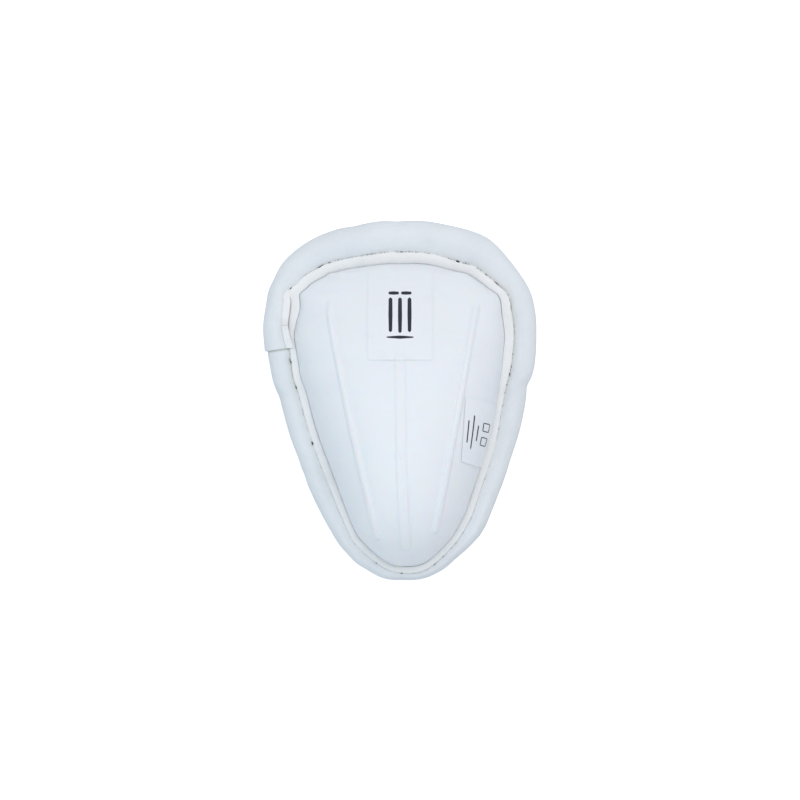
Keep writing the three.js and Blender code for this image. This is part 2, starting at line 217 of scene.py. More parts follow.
@dataclass
class RimPlan:
    """The plan of the rim, a closed curve through its rows, with places given as shares of its length."""

    half_width: float
    half_length: float
    roll_width: float = 16 * MM
    strip_width: float = 5 * MM
    chord_span: float = 0.035
    samples: int = 4200
    perimeter: float = field(init=False)

    def __post_init__(self) -> None:
        """Measures the curve once."""
        self._outline = np.array([(r.x * self.half_width, r.y * self.half_length) for r in RIM_ROWS])
        self._widths = np.array([(r.roll * self.roll_width, r.strip * self.strip_width) for r in RIM_ROWS])
        self._knots = np.linspace(0, len(RIM_ROWS), self.samples + 1)
        steps = np.diff(catmull_rom(self._outline, self._knots, True), axis=0)
        run = np.concatenate([[0], np.cumsum(np.hypot(steps[:, 0], steps[:, 1]))])
        self.perimeter = float(run[-1])
        self._shares = run / self.perimeter
        self._corners = [(corner, self.nearest(corner.x * MM, corner.y * MM)) for corner in STRIP_CORNERS]

    def _edge(self, shares: Array) -> Array:
        """Plan points of the edge."""
        return catmull_rom(self._outline, np.interp(shares % 1, self._shares, self._knots), True)

    def at(self, shares: Array) -> RimSpan:
        """Reads the rim.

        Args:
            shares: Places, as shares of the rim clockwise from the waist end.

        Returns:
            The rim there.
        """
        chord = self._edge(shares + self.chord_span) - self._edge(shares - self.chord_span)
        inward = np.stack([chord[:, 1], -chord[:, 0]], axis=1)
        inward /= np.linalg.norm(inward, axis=1, keepdims=True)
        roll, strip = catmull_rom(self._widths, np.interp(shares % 1, self._shares, self._knots), True).T
        for corner, place in self._corners:
            tent = np.clip(1 - self.away(shares, place) / (corner.length * MM / 2), 0, 1)
            roll = roll - corner.seam * MM * tent
            strip = strip + (corner.seam - corner.mouth) * MM * tent
        return RimSpan(shares, self._edge(shares), inward, roll, strip)

    def away(self, shares: Array, place: float) -> Array:
        """Distance along the rim from one place, the shorter way round."""
        return np.abs((shares - place + 0.5) % 1 - 0.5) * self.perimeter

    def left_share(self, y: float) -> float:
        """Share of the rim at which its left side crosses y."""
        shares = np.linspace(0.55, 0.95, self.samples)
        return float(np.interp(y, self._edge(shares)[:, 1], shares))

    def nearest(self, x: float, y: float) -> float:
        """Share of the rim whose edge is nearest to a plan point."""
        shares = np.linspace(0, 1, self.samples)
        away = np.hypot(*(self._edge(shares) - (x, y)).T)
        return float(shares[int(away.argmin())])

    def ripple(self, shares: Array, wavelength: float, seed: float) -> Array:
        """Soft noise along the rim, which meets itself where the rim closes."""
        radius = self.perimeter / (2 * math.pi * wavelength)
        turn = 2 * math.pi * shares
        ring = np.stack([np.cos(turn) * radius, np.sin(turn) * radius, np.zeros_like(turn)], axis=1)
        return rough(ring, 1.0, seed)


@dataclass(frozen=True)
class Flange:
    """The cup's flat flange, which leans down a little towards the waist end."""

    half_length: float
    lift_waist: float = 8.5 * MM
    lift_tip: float = 12.5 * MM
    thickness: float = 2.2 * MM
    grip: float = 0.35

    def under(self, y: Array) -> Array:
        """Height of its underside."""
        share = (y + self.half_length) / (2 * self.half_length)
        return self.lift_tip + (self.lift_waist - self.lift_tip) * share

    def top(self, y: Array) -> Array:
        """Height of its upper face."""
        return self.under(y) + self.thickness

    def under_along(self, rim: RimSpan, across: Array) -> Array:
        """Height of its underside at one distance in from the edge for each place on the rim."""
        return self.under(rim.plan_y(across[:, None])[:, 0])

    def top_along(self, rim: RimSpan, across: Array) -> Array:
        """Height of its upper face at one distance in from the edge for each place on the rim."""
        return self.under_along(rim, across) + self.thickness

    def reach(self, roll: Array) -> Array:
        """How far in from the rim's edge the flange ends, inside the roll."""
        return roll * (1 - self.grip)


@dataclass(frozen=True)
class Fall:
    """How the cup falls away from its crown line: flat keeps the middle level, plunge stands the wall up."""

    flat: float
    plunge: float

    def at(self, share: Array) -> Array:
        """Height left at a share of the way out."""
        return (1 - np.minimum(1, np.abs(share)) ** self.flat) ** self.plunge


@dataclass
class CupDome:
    """A dome over the cup's mouth, drawn in by an inset, from a flat base up to its crown line."""

    plan: RimPlan
    base: Callable[[Array], Array]
    inset: float = 0.0
    height: float = 59 * MM
    crown_y: float = -28 * MM
    waist: Fall = Fall(1.9, 0.8)
    side: Fall = Fall(2.9, 0.6)
    tip: Fall = Fall(2.8, 0.6)
    samples: int = 1600

    def __post_init__(self) -> None:
        """Finds the ends and the two sides of the mouth."""
        mouth = self.mouth(np.arange(self.samples) / self.samples)
        self.waist_y, self.tip_y = float(mouth[:, 1].max()), float(mouth[:, 1].min())
        self._sides = {}
        for side in (-1, 1):
            half = mouth[mouth[:, 0] * side >= 0]
            half = half[np.argsort(half[:, 1])]
            self._sides[side] = (half[:, 1], half[:, 0])

    def mouth(self, shares: Array) -> Array:
        """Plan points of the mouth at shares of the rim."""
        rim = self.plan.at(shares)
        return rim.edge + rim.inward * (rim.roll + rim.strip + self.inset)[:, None]

    def edge_x(self, y: Array, side: int) -> Array:
        """The x at which one side of the mouth crosses each y."""
        return np.interp(y, *self._sides[side])

    def at(self, x: Array, y: Array) -> Array:
        """Height of the dome over plan points."""
        ahead = np.where(
            y > self.crown_y,
            self.waist.at((y - self.crown_y) / (self.waist_y - self.crown_y)),
            self.tip.at((y - self.crown_y) / (self.tip_y - self.crown_y)),
        )
        edge = np.where(x < 0, self.edge_x(y, -1), self.edge_x(y, 1))
        rise = self.height - float(self.base(np.array(self.crown_y)))
        return self.base(y) + rise * ahead * self.side.at(x / np.where(np.abs(edge) < MM, MM, edge))

    def crown(self) -> list[float]:
        """The point at the top of the dome."""
        return [0.0, self.crown_y, float(self.at(np.zeros(1), np.array([self.crown_y]))[0])]


class RibSide(Enum):
    """The side of a rib that faces out from the guard's middle."""

    LEFT = -1
    NONE = 0
    RIGHT = 1


@dataclass
class Rib:
    """A raised rib along a bent line over the cup, its path given as shares of the half sizes.

    A rib with an outer side is steep there and runs out gently on the other. One without is a flat band.
    """

    plan: RimPlan
    path: tuple[tuple[float, float], ...]
    width: float = 3.6 * MM
    height: float = 2.0 * MM
    foot_height: float = 2.1 * MM
    top_fade: float = 1.3 * MM
    foot_fade: float = 1.2 * MM
    outer: RibSide = RibSide.NONE
    steps: int = 90

    def line(self, steps: int) -> Array:
        """Plan points along the rib's middle, from its top to its foot."""
        knots = np.array(self.path) * (self.plan.half_width, self.plan.half_length)
        return catmull_rom(knots, np.linspace(0, len(knots) - 1, steps), False)

    def relief(self, x: Array, y: Array) -> Array:
        """Height that the rib adds over plan points.

        Args:
            x: Across the guard.
            y: Along the guard.

        Returns:
            One height for each point, 0 away from the rib.
        """
        line = self.line(self.steps)
        low, high = line.min(0) - self.width, line.max(0) + self.width
        near = np.flatnonzero((x > low[0]) & (x < high[0]) & (y > low[1]) & (y < high[1]))
        added = np.zeros_like(x)
        points = np.stack([x[near], y[near]], axis=1)
        best = np.full(len(near), np.inf)
        along, beside = np.zeros(len(near)), np.zeros(len(near))
        run = 0.0
        for start, end in zip(line[:-1], line[1:]):
            step = end - start
            length = float(np.hypot(*step))
            from_start = points - start
            share = np.clip(from_start @ step / length**2, 0, 1)
            away = np.hypot(*(from_start - share[:, None] * step).T)
            turned = np.sign(step[0] * from_start[:, 1] - step[1] * from_start[:, 0])
            closer = away < best
            beside = np.where(closer, turned * away, beside)
            best = np.where(closer, away, best)
            along = np.where(closer, run + share * length, along)
            run += length
        rise = self.height + (self.foot_height - self.height) * smooth_step(along / run, 0.6, 1)
        top_end = smooth_step(along, -0.3 * self.top_fade, self.top_fade)
        foot_end = smooth_step(run - along, -0.1 * MM, self.foot_fade)
        added[near] = rise * top_end * foot_end * self._profile(beside / (self.width / 2))
        return added

    def _profile(self, beside: Array) -> Array:
        """Share of the height at a place across the rib, from -1 on its left to 1 on its right."""
        if self.outer is RibSide.NONE:
            return 1 - smooth_step(np.abs(beside), 0.72, 1.05)
        outward = beside * self.outer.value
        return smooth_step(1 - outward, 0, 0.40) * (1 - smooth_step(-outward, 0.1, 1.25))


class Grain(Enum):
    """The fine relief of a finish."""

    PEBBLE = "pebble"
    WEAVE = "weave"
    HAZE = "haze"


@dataclass
class Wiring:
    """Short hands for placing and joining the nodes of one tree."""

    tree: bpy.types.NodeTree

    def place(
        self, kind: str, inputs: dict[str | int, object] | None = None, **settings: object
    ) -> bpy.types.Node:
        """Adds a node.

        Args:
            kind: The node's type.
            inputs: A value or another node's socket for each input, by name or number.
            settings: The node's own properties.

        Returns:
            The node.
        """
        node = self.tree.nodes.new(kind)
        for label, value in settings.items():
            setattr(node, label, value)
        for label, value in (inputs or {}).items():
            if isinstance(value, bpy.types.NodeSocket):
                self.tree.links.new(value, node.inputs[label])
            else:
                node.inputs[label].default_value = value
        return node

    def math(self, operation: str, *values: object) -> bpy.types.NodeSocket:
        """Result of a math node on numbers or sockets."""
        return self.place("ShaderNodeMath", dict(enumerate(values)), operation=operation).outputs[0]

    def mix(self, share: object, first: object, second: object) -> bpy.types.NodeSocket:
        """Mixes two colours."""
        inputs = {0: share, 6: first, 7: second}
        return self.place("ShaderNodeMix", inputs, data_type="RGBA").outputs[2]

    def noise(self, place: object, scale: object, detail: float) -> bpy.types.NodeSocket:
        """A noise value from 0 to 1."""
        inputs = {"Vector": place, "Scale": scale, "Detail": detail}
        return self.place("ShaderNodeTexNoise", inputs).outputs["Fac"]

    def ramp(self, value: object, low: float, high: float) -> bpy.types.NodeSocket:
        """Stretches the values from low to high over 0 to 1."""
        inputs = {"Value": value, "From Min": low, "From Max": high}
        return self.place("ShaderNodeMapRange", inputs, interpolation_type="SMOOTHSTEP").outputs["Result"]

    def group(self, tree: bpy.types.NodeTree, inputs: dict[str, object]) -> bpy.types.NodeOutputs:
        """Outputs of a shared node group, placed with its inputs."""
        return self.place("ShaderNodeGroup", inputs, node_tree=tree).outputs

    @classmethod
    def fresh(cls, owner: bpy.types.Material | bpy.types.World) -> "Wiring":
        """Wiring of a material or world, with its nodes cleared."""
        owner.use_nodes = True
        owner.node_tree.nodes.clear()
        return cls(owner.node_tree)


@dataclass
class GroupWiring(Wiring):
    """The wiring of a shader node group, with its given inputs and the place on the piece that it colours."""

    given: bpy.types.NodeOutputs
    spot: bpy.types.NodeSocket = field(init=False)

    def __post_init__(self) -> None:
        """Reads the place on the piece."""
        self.spot = self.place("ShaderNodeTexCoord").outputs["Object"]

    @classmethod
    def begin(cls, name: str, **inputs: object) -> "GroupWiring":
        """Starts a group.

        Args:
            name: The group's name.
            inputs: Default value of each input. A number makes a float socket, and a colour a colour socket.

        Returns:
            Its wiring.
        """
        tree = bpy.data.node_groups.new(name, "ShaderNodeTree")
        for label, value in inputs.items():
            kind = "NodeSocketFloat" if isinstance(value, float) else "NodeSocketColor"
            tree.interface.new_socket(label, in_out="INPUT", socket_type=kind).default_value = value
        return cls(tree, tree.nodes.new("NodeGroupInput").outputs)

    def end(self, **outputs: bpy.types.NodeSocket) -> bpy.types.NodeTree:
        """Gives the group its outputs.

        Args:
            outputs: What each output puts out, a colour or a number.

        Returns:
            The finished group.
        """
        for label, source in outputs.items():
            kind = "NodeSocketColor" if source.type == "RGBA" else "NodeSocketFloat"
            self.tree.interface.new_socket(label, in_out="OUTPUT", socket_type=kind)
        result = self.tree.nodes.new("NodeGroupOutput")
        for label, source in outputs.items():
            self.tree.links.new(source, result.inputs[label])
        return self.tree


class Effects:
    """The shader node groups that the finishes share."""

    def __init__(self) -> None:
        """Builds every group once."""
        self.grains = {Grain.PEBBLE: self._pebble(), Grain.WEAVE: self._weave(), Grain.HAZE: self._haze()}
        self.mottle = self._mottle()
        self.handling = self._handling()
        self.crease = self._crease()

    @staticmethod
    def _pebble() -> bpy.types.NodeTree:
        """Fine pebbled skin of coated leathercloth, over softer lumps."""
        wire = GroupWiring.begin("grain_pebble", Scale=1000.0)
        scale = wire.given["Scale"]
        cells = {"Vector": wire.spot, "Scale": scale}
        pebbles = wire.place("ShaderNodeTexVoronoi", cells, feature="SMOOTH_F1").outputs["Distance"]
        lumps = wire.noise(wire.spot, wire.math("MULTIPLY", scale, 0.22), 3.0)
        sunk = wire.math("MULTIPLY", pebbles, -0.6)
        return wire.end(Height=wire.math("ADD", sunk, wire.math("MULTIPLY", lumps, 0.9)))

    @staticmethod
    def _weave() -> bpy.types.NodeTree:
        """Plain weave of the coated binding cloth, softened by its coat."""
        wire = GroupWiring.begin("grain_weave", Scale=1000.0)
        scale = wire.given["Scale"]
        threads = {"Vector": wire.spot, "Scale": scale, "Distortion": 1.5, "Detail": 1.0}
        waves = [
            wire.place("ShaderNodeTexWave", threads, bands_direction=way, wave_type="BANDS").outputs["Fac"]
            for way in ("X", "Y")
        ]
        lumps = wire.noise(wire.spot, wire.math("MULTIPLY", scale, 0.5), 3.0)
        woven = wire.math("MULTIPLY", wire.math("ADD", *waves), 0.3)
        return wire.end(Height=wire.math("ADD", woven, lumps))

    @staticmethod
    def _haze() -> bpy.types.NodeTree:
        """The faint orange peel and flow lines of a moulded or rolled plastic skin."""
        wire = GroupWiring.begin("grain_haze", Scale=400.0)
        scale = wire.given["Scale"]
        stretch = {"Vector": wire.spot, "Scale": (1.0, 0.08, 0.3)}
        stretched = wire.place("ShaderNodeMapping", stretch).outputs["Vector"]
        peel = wire.math("MULTIPLY", wire.noise(wire.spot, scale, 2.0), 0.5)
        flow = wire.noise(stretched, wire.math("MULTIPLY", scale, 0.6), 2.0)
        return wire.end(Height=wire.math("ADD", peel, wire.math("MULTIPLY", flow, 0.5)))

    @staticmethod
    def _mottle() -> bpy.types.NodeTree:
        """Soft cloudy change between two colours."""
        wire = GroupWiring.begin("soft_mottle", Light=WHITE, Shade=WHITE, Scale=40.0)
        cloud = wire.ramp(wire.noise(wire.spot, wire.given["Scale"], 4.0), 0.35, 0.72)
        return wire.end(Color=wire.mix(cloud, wire.given["Light"], wire.given["Shade"]))

    @staticmethod
    def _handling() -> bpy.types.NodeTree:
        """Faint smudges and rubbed places, which change the gloss and grey the colour a little."""
        amounts = {"Amount": 0.2, "Roughness": 0.5, "Swing": 0.1}
        wire = GroupWiring.begin("handling_marks", Color=WHITE, Grime=WHITE, **amounts)
        given = wire.given
        smears = wire.ramp(wire.noise(wire.spot, 90.0, 6.0), 0.52, 0.75)
        specks = wire.ramp(wire.noise(wire.spot, 700.0, 2.0), 0.68, 0.76)
        marks = wire.math("MULTIPLY", wire.math("MAXIMUM", smears, specks), given["Amount"])
        patch = wire.math("SUBTRACT", wire.noise(wire.spot, 130.0, 5.0), 0.5)
        swung = wire.math("MULTIPLY_ADD", patch, given["Swing"], given["Roughness"])
        return wire.end(Color=wire.mix(marks, given["Color"], given["Grime"]), Roughness=swung)

    @staticmethod
    def _crease() -> bpy.types.NodeTree:
        """Painted shade and soiling in the grooves, where a mesh marks them."""
        wire = GroupWiring.begin("groove_shade_and_dirt", Color=WHITE, Dirt=WHITE)
        marked = wire.place("ShaderNodeAttribute", attribute_name="crease").outputs["Fac"]
        broken = wire.math("MULTIPLY_ADD", wire.noise(wire.spot, 900.0, 2.0), 0.7, 0.65)
        shade_and_dirt = wire.place("ShaderNodeClamp", {"Value": wire.math("MULTIPLY", marked, broken)}).outputs[0]
        return wire.end(Color=wire.mix(shade_and_dirt, wire.given["Color"], wire.given["Dirt"]))


@dataclass(frozen=True)
class Finish:
    """A surface finish: its colours, its fine relief and its gloss."""

    name: str
    light: Colour
    shade: Colour
    grime: Colour
    grain: Grain
    grain_scale: float
    grain_depth: float
    roughness: float
    # Groove colour taken where a mesh marks a crease: painted shade with soiling, and on the leathercloth also the
    # olive of its backing.
    shade_and_dirt: Colour = linear(112, 116, 128)
    mottle_scale: float = 35.0
    grime_amount: float = 0.25
    roughness_swing: float = 0.12
    specular: float = 0.5
    coat: float = 0.0
    coat_roughness: float = 0.2
    sheen: float = 0.0
    glow_depth: float = 0.0
    glow_weight: float = 0.25

    def material(self, effects: Effects) -> bpy.types.Material:
        """Builds the material.

        Args:
            effects: The node groups that the finishes share.

        Returns:
            The material.
        """
        made = bpy.data.materials.new(self.name)
        wire = Wiring.fresh(made)
        cloud = {"Light": opaque(self.light), "Shade": opaque(self.shade), "Scale": self.mottle_scale}
        marks = {
            "Color": wire.group(effects.mottle, cloud)["Color"],
            "Grime": opaque(self.grime),
            "Amount": self.grime_amount,
            "Roughness": self.roughness,
            "Swing": self.roughness_swing,
        }
        handled = wire.group(effects.handling, marks)
        # The marked grooves take painted shade and soiling.
        shade_and_dirt_inputs = {"Color": handled["Color"], "Dirt": opaque(self.shade_and_dirt)}
        grain = wire.group(effects.grains[self.grain], {"Scale": self.grain_scale})
        relief = {"Height": grain["Height"], "Distance": self.grain_depth, "Strength": 1.0}
        shader = {
            "Base Color": wire.group(effects.crease, shade_and_dirt_inputs)["Color"],
            "Roughness": handled["Roughness"],
            "Normal": wire.place("ShaderNodeBump", relief).outputs["Normal"],
            "Specular IOR Level": self.specular,
            "Coat Weight": self.coat,
            "Coat Roughness": self.coat_roughness,
            "Sheen Weight": self.sheen,
            "Subsurface Weight": 0.0 if self.glow_depth == 0 else self.glow_weight,
            "Subsurface Scale": self.glow_depth,
        }
        principled = wire.place("ShaderNodeBsdfPrincipled", shader)
        wire.place("ShaderNodeOutputMaterial", {"Surface": principled.outputs["BSDF"]})
        return made


MOULDED_PVC = Finish(
    name="moulded_pvc",
    light=linear(231, 235, 240),
    shade=linear(230, 235, 239),
    grime=linear(214, 222, 228),
    grain=Grain.HAZE,
    grain_scale=420.0,
    grain_depth=0.04 * MM,
    roughness=0.52,
    grime_amount=0.12,
    specular=0.35,
    glow_depth=1.2 * MM,
)
LEATHERCLOTH = Finish(
    name="leathercloth",
    light=linear(223, 228, 232),
    shade=linear(219, 224, 229),
    grime=linear(204, 208, 208),
    shade_and_dirt=linear(172, 179, 154),
    grain=Grain.PEBBLE,
    grain_scale=1400.0,
    grain_depth=0.20 * MM,
    roughness=0.62,
    grime_amount=0.22,
    sheen=0.05,
)
BINDING_CLOTH = Finish(
    name="binding_cloth",
    light=linear(236, 237, 238),
    shade=linear(231, 234, 234),
    grime=linear(210, 213, 207),
    grain=Grain.WEAVE,
    grain_scale=900.0,
    grain_depth=0.08 * MM,
    roughness=0.62,
    sheen=0.08,
)
LABEL_FILM = Finish(
    name="label_film",
    light=linear(232, 236, 241),
    shade=linear(231, 235, 240),
    grime=linear(218, 222, 229),
    grain=Grain.HAZE,
    grain_scale=500.0,
    grain_depth=0.03 * MM,
    roughness=0.32,
    coat=0.1,
)
PRINTING_INK = Finish(
    name="printing_ink",
    light=linear(22, 26, 42),
    shade=linear(30, 34, 52),
    grime=linear(54, 58, 74),
    grain=Grain.HAZE,
    grain_scale=900.0,
    grain_depth=0.02 * MM,
    roughness=0.45,
    grime_amount=0.3,
)
BACKING_FIBRE = Finish(
    name="backing_fibre",
    light=linear(176, 181, 164),
    shade=linear(120, 126, 108),
    grime=linear(72, 75, 64),
    grain=Grain.WEAVE,
    grain_scale=2500.0,
    grain_depth=0.05 * MM,
    roughness=0.85,
    grime_amount=0.6,
)
SEWING_THREAD = Finish(
    name="sewing_thread",
    light=linear(250, 250, 250),
    shade=linear(244, 245, 246),
    grime=linear(226, 228, 228),
    grain=Grain.WEAVE,
    grain_scale=4000.0,
    grain_depth=0.02 * MM,
    roughness=0.6,
)
NEEDLE_SHADOW = Finish(
    name="needle_shadow",
    light=linear(52, 56, 50),
    shade=linear(30, 32, 34),
    grime=linear(20, 20, 24),
    grain=Grain.WEAVE,
    grain_scale=2500.0,
    grain_depth=0.02 * MM,
    roughness=0.9,
    shade_and_dirt=linear(24, 26, 28),
)


def ring_faces(
    rings: int, points: int, close_rings: bool, close_points: bool, first: int = 0
) -> list[tuple[int, ...]]:
    """Quads between neighbouring rings of equal length.

    Args:
        rings: Number of rings.
        points: Points in a ring.
        close_rings: Whether the last ring joins the first.
        close_points: Whether a ring's last point joins its first.
        first: Number of the first ring's first vertex.

    Returns:
        The faces.
    """
    ring = np.arange(rings if close_rings else rings - 1)[:, None]
    point = np.arange(points if close_points else points - 1)[None, :]
    beyond, beside = (ring + 1) % rings, (point + 1) % points
    here, there = ring * points, beyond * points
    corners = (here + point, here + beside, there + beside, there + point)
    return (np.stack(corners, axis=-1).reshape(-1, 4) + first).tolist()


@dataclass
class Tubes:
    """Closed tubes gathered into one mesh."""

    blocks: list[Array] = field(default_factory=list)
    faces: list[tuple[int, ...]] = field(default_factory=list)
    count: int = 0

    def add(self, rings: Array) -> None:
        """Adds a tube with a cap at both ends.

        Args:
            rings: Its rings of points, all of one length.
        """
        steps, sides = rings.shape[:2]
        first, last = self.count, self.count + (steps - 1) * sides
        self.blocks.append(rings.reshape(-1, 3))
        self.faces += ring_faces(steps, sides, False, True, first)
        self.faces.append(tuple(range(first, first + sides)))
        self.faces.append(tuple(range(last, last + sides)))
        self.count = last + sides

    def vertices(self) -> Array:
        """Every tube's points."""
        return np.concatenate(self.blocks)


def add_object(name: str, data: bpy.types.ID) -> bpy.types.Object:
    """Puts a new object into the scene."""
    made = bpy.data.objects.new(name, data)
    bpy.context.scene.collection.objects.link(made)
    return made


def make_piece(
    name: str,
    vertices: Array,
    faces: Sequence[Sequence[int]],
    material: bpy.types.Material,
    crease: Array | None = None,
    sharp_from: float = 50.0,
) -> bpy.types.Object:
    """Makes a piece of the guard from a mesh, with its faces turned outwards.

    Args:
        name: The piece's name.
        vertices: Rows of x, y and z.
        faces: Vertex numbers of each face.
        material: Its material.
        crease: How strongly each vertex takes its finish's groove colour, painted shade with some soiling, from 0
            to 1.
        sharp_from: Edges that turn by more than this many degrees stay sharp.

    Returns:
        The object, riding on the guard's body.
    """
    mesh = bpy.data.meshes.new(name)
    mesh.from_pydata(vertices.tolist(), [], faces)
    marks = mesh.attributes.new("crease", "FLOAT", "POINT")
    marks.data.foreach_set("value", np.zeros(len(vertices)) if crease is None else crease)
    shaped = bmesh.new()
    shaped.from_mesh(mesh)
    bmesh.ops.recalc_face_normals(shaped, faces=shaped.faces)
    shaped.to_mesh(mesh)
    shaped.free()
    mesh.shade_smooth()
    mesh.set_sharp_from_angle(angle=math.radians(sharp_from))
    mesh.materials.append(material)
    piece = add_object(name, mesh)
    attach(piece, BODY)
    LOG.info("%s: %d vertices, %d faces", name, len(mesh.vertices), len(mesh.polygons))
    return piece


@dataclass(frozen=True)
class GrooveRow:
    """The two grooves beside the binding at a share of the rim.

    seam and wall are how wide they stand open, in millimetres, and below nothing where the tape is pressed in.
    seam_fill and wall_fill are how far the tape's shoulders fill them, as shares of its height. lean is how
    far the tape slopes down to the cup, and fray how ragged the cover's backing is, both from 0 to 1.
    """

    share: float
    seam: float
    wall: float
    seam_fill: float
    wall_fill: float
    lean: float
    fray: float


GROOVE_ROWS = (
    GrooveRow(0.000, -0.02, -0.35, 0.82, 0.98, 1.00, 0.20),
    GrooveRow(0.020, -0.01, -0.30, 0.80, 0.96, 1.00, 0.20),
    GrooveRow(0.045, -0.04, -0.35, 0.84, 0.98, 1.00, 0.25),
    GrooveRow(0.080, -0.02, -0.30, 0.80, 0.98, 1.00, 0.40),
    GrooveRow(0.105, 0.00, -0.20, 0.76, 0.95, 1.00, 0.55),
    GrooveRow(0.120, 0.00, -0.15, 0.76, 0.94, 0.70, 0.70),
    GrooveRow(0.150, -0.04, -0.10, 0.80, 0.92, 0.30, 1.00),
    GrooveRow(0.205, -0.04, -0.10, 0.78, 0.94, 0.20, 1.00),
    GrooveRow(0.235, -0.02, -0.12, 0.76, 0.94, 0.10, 0.90),
    GrooveRow(0.265, -0.04, -0.14, 0.72, 0.94, 0.00, 0.60),
    GrooveRow(0.330, -0.04, -0.12, 0.66, 0.94, 0.00, 0.30),
    GrooveRow(0.360, -0.03, -0.04, 0.48, 0.80, 0.00, 0.20),
    GrooveRow(0.430, -0.03, -0.04, 0.46, 0.76, 0.00, 0.20),
    GrooveRow(0.500, -0.02, -0.04, 0.46, 0.76, 0.00, 0.20),
    GrooveRow(0.600, -0.03, -0.02, 0.48, 0.70, 0.00, 0.10),
    GrooveRow(0.700, -0.03, 0.00, 0.54, 0.66, 0.00, 0.50),
    GrooveRow(0.745, -0.01, -0.04, 0.66, 0.82, 0.00, 1.00),
    GrooveRow(0.770, 0.00, -0.06, 0.68, 0.86, 0.00, 1.00),
    GrooveRow(0.790, -0.02, -0.08, 0.70, 0.90, 0.00, 0.40),
    GrooveRow(0.850, -0.02, -0.12, 0.76, 0.94, 0.20, 0.20),
    GrooveRow(0.880, 0.02, -0.15, 0.74, 0.94, 0.70, 0.35),
    GrooveRow(0.930, 0.01, -0.25, 0.76, 0.98, 1.00, 0.30),
    GrooveRow(0.960, -0.02, -0.32, 0.80, 0.98, 1.00, 0.20),
)


@dataclass(frozen=True)
class Grooves:
    """The grooves at a run of places, their widths in metres."""

    seam: Array
    wall: Array
    seam_fill: Array
    wall_fill: Array
    lean: Array
    fray: Array

    @classmethod
    def at(cls, shares: Array) -> "Grooves":
        """Reads the table of grooves.

        Args:
            shares: Places on the rim.

        Returns:
            The grooves there.
        """
        rows = sorted(GROOVE_ROWS, key=lambda row: row.share)
        knots = [row.share for row in rows]
        columns = {
            name: np.interp(shares % 1, knots, [getattr(row, name) for row in rows], period=1)
            for name in ("seam", "wall", "seam_fill", "wall_fill", "lean", "fray")
        }
        columns["seam"] = columns["seam"] * MM
        columns["wall"] = columns["wall"] * MM
        return cls(**columns)


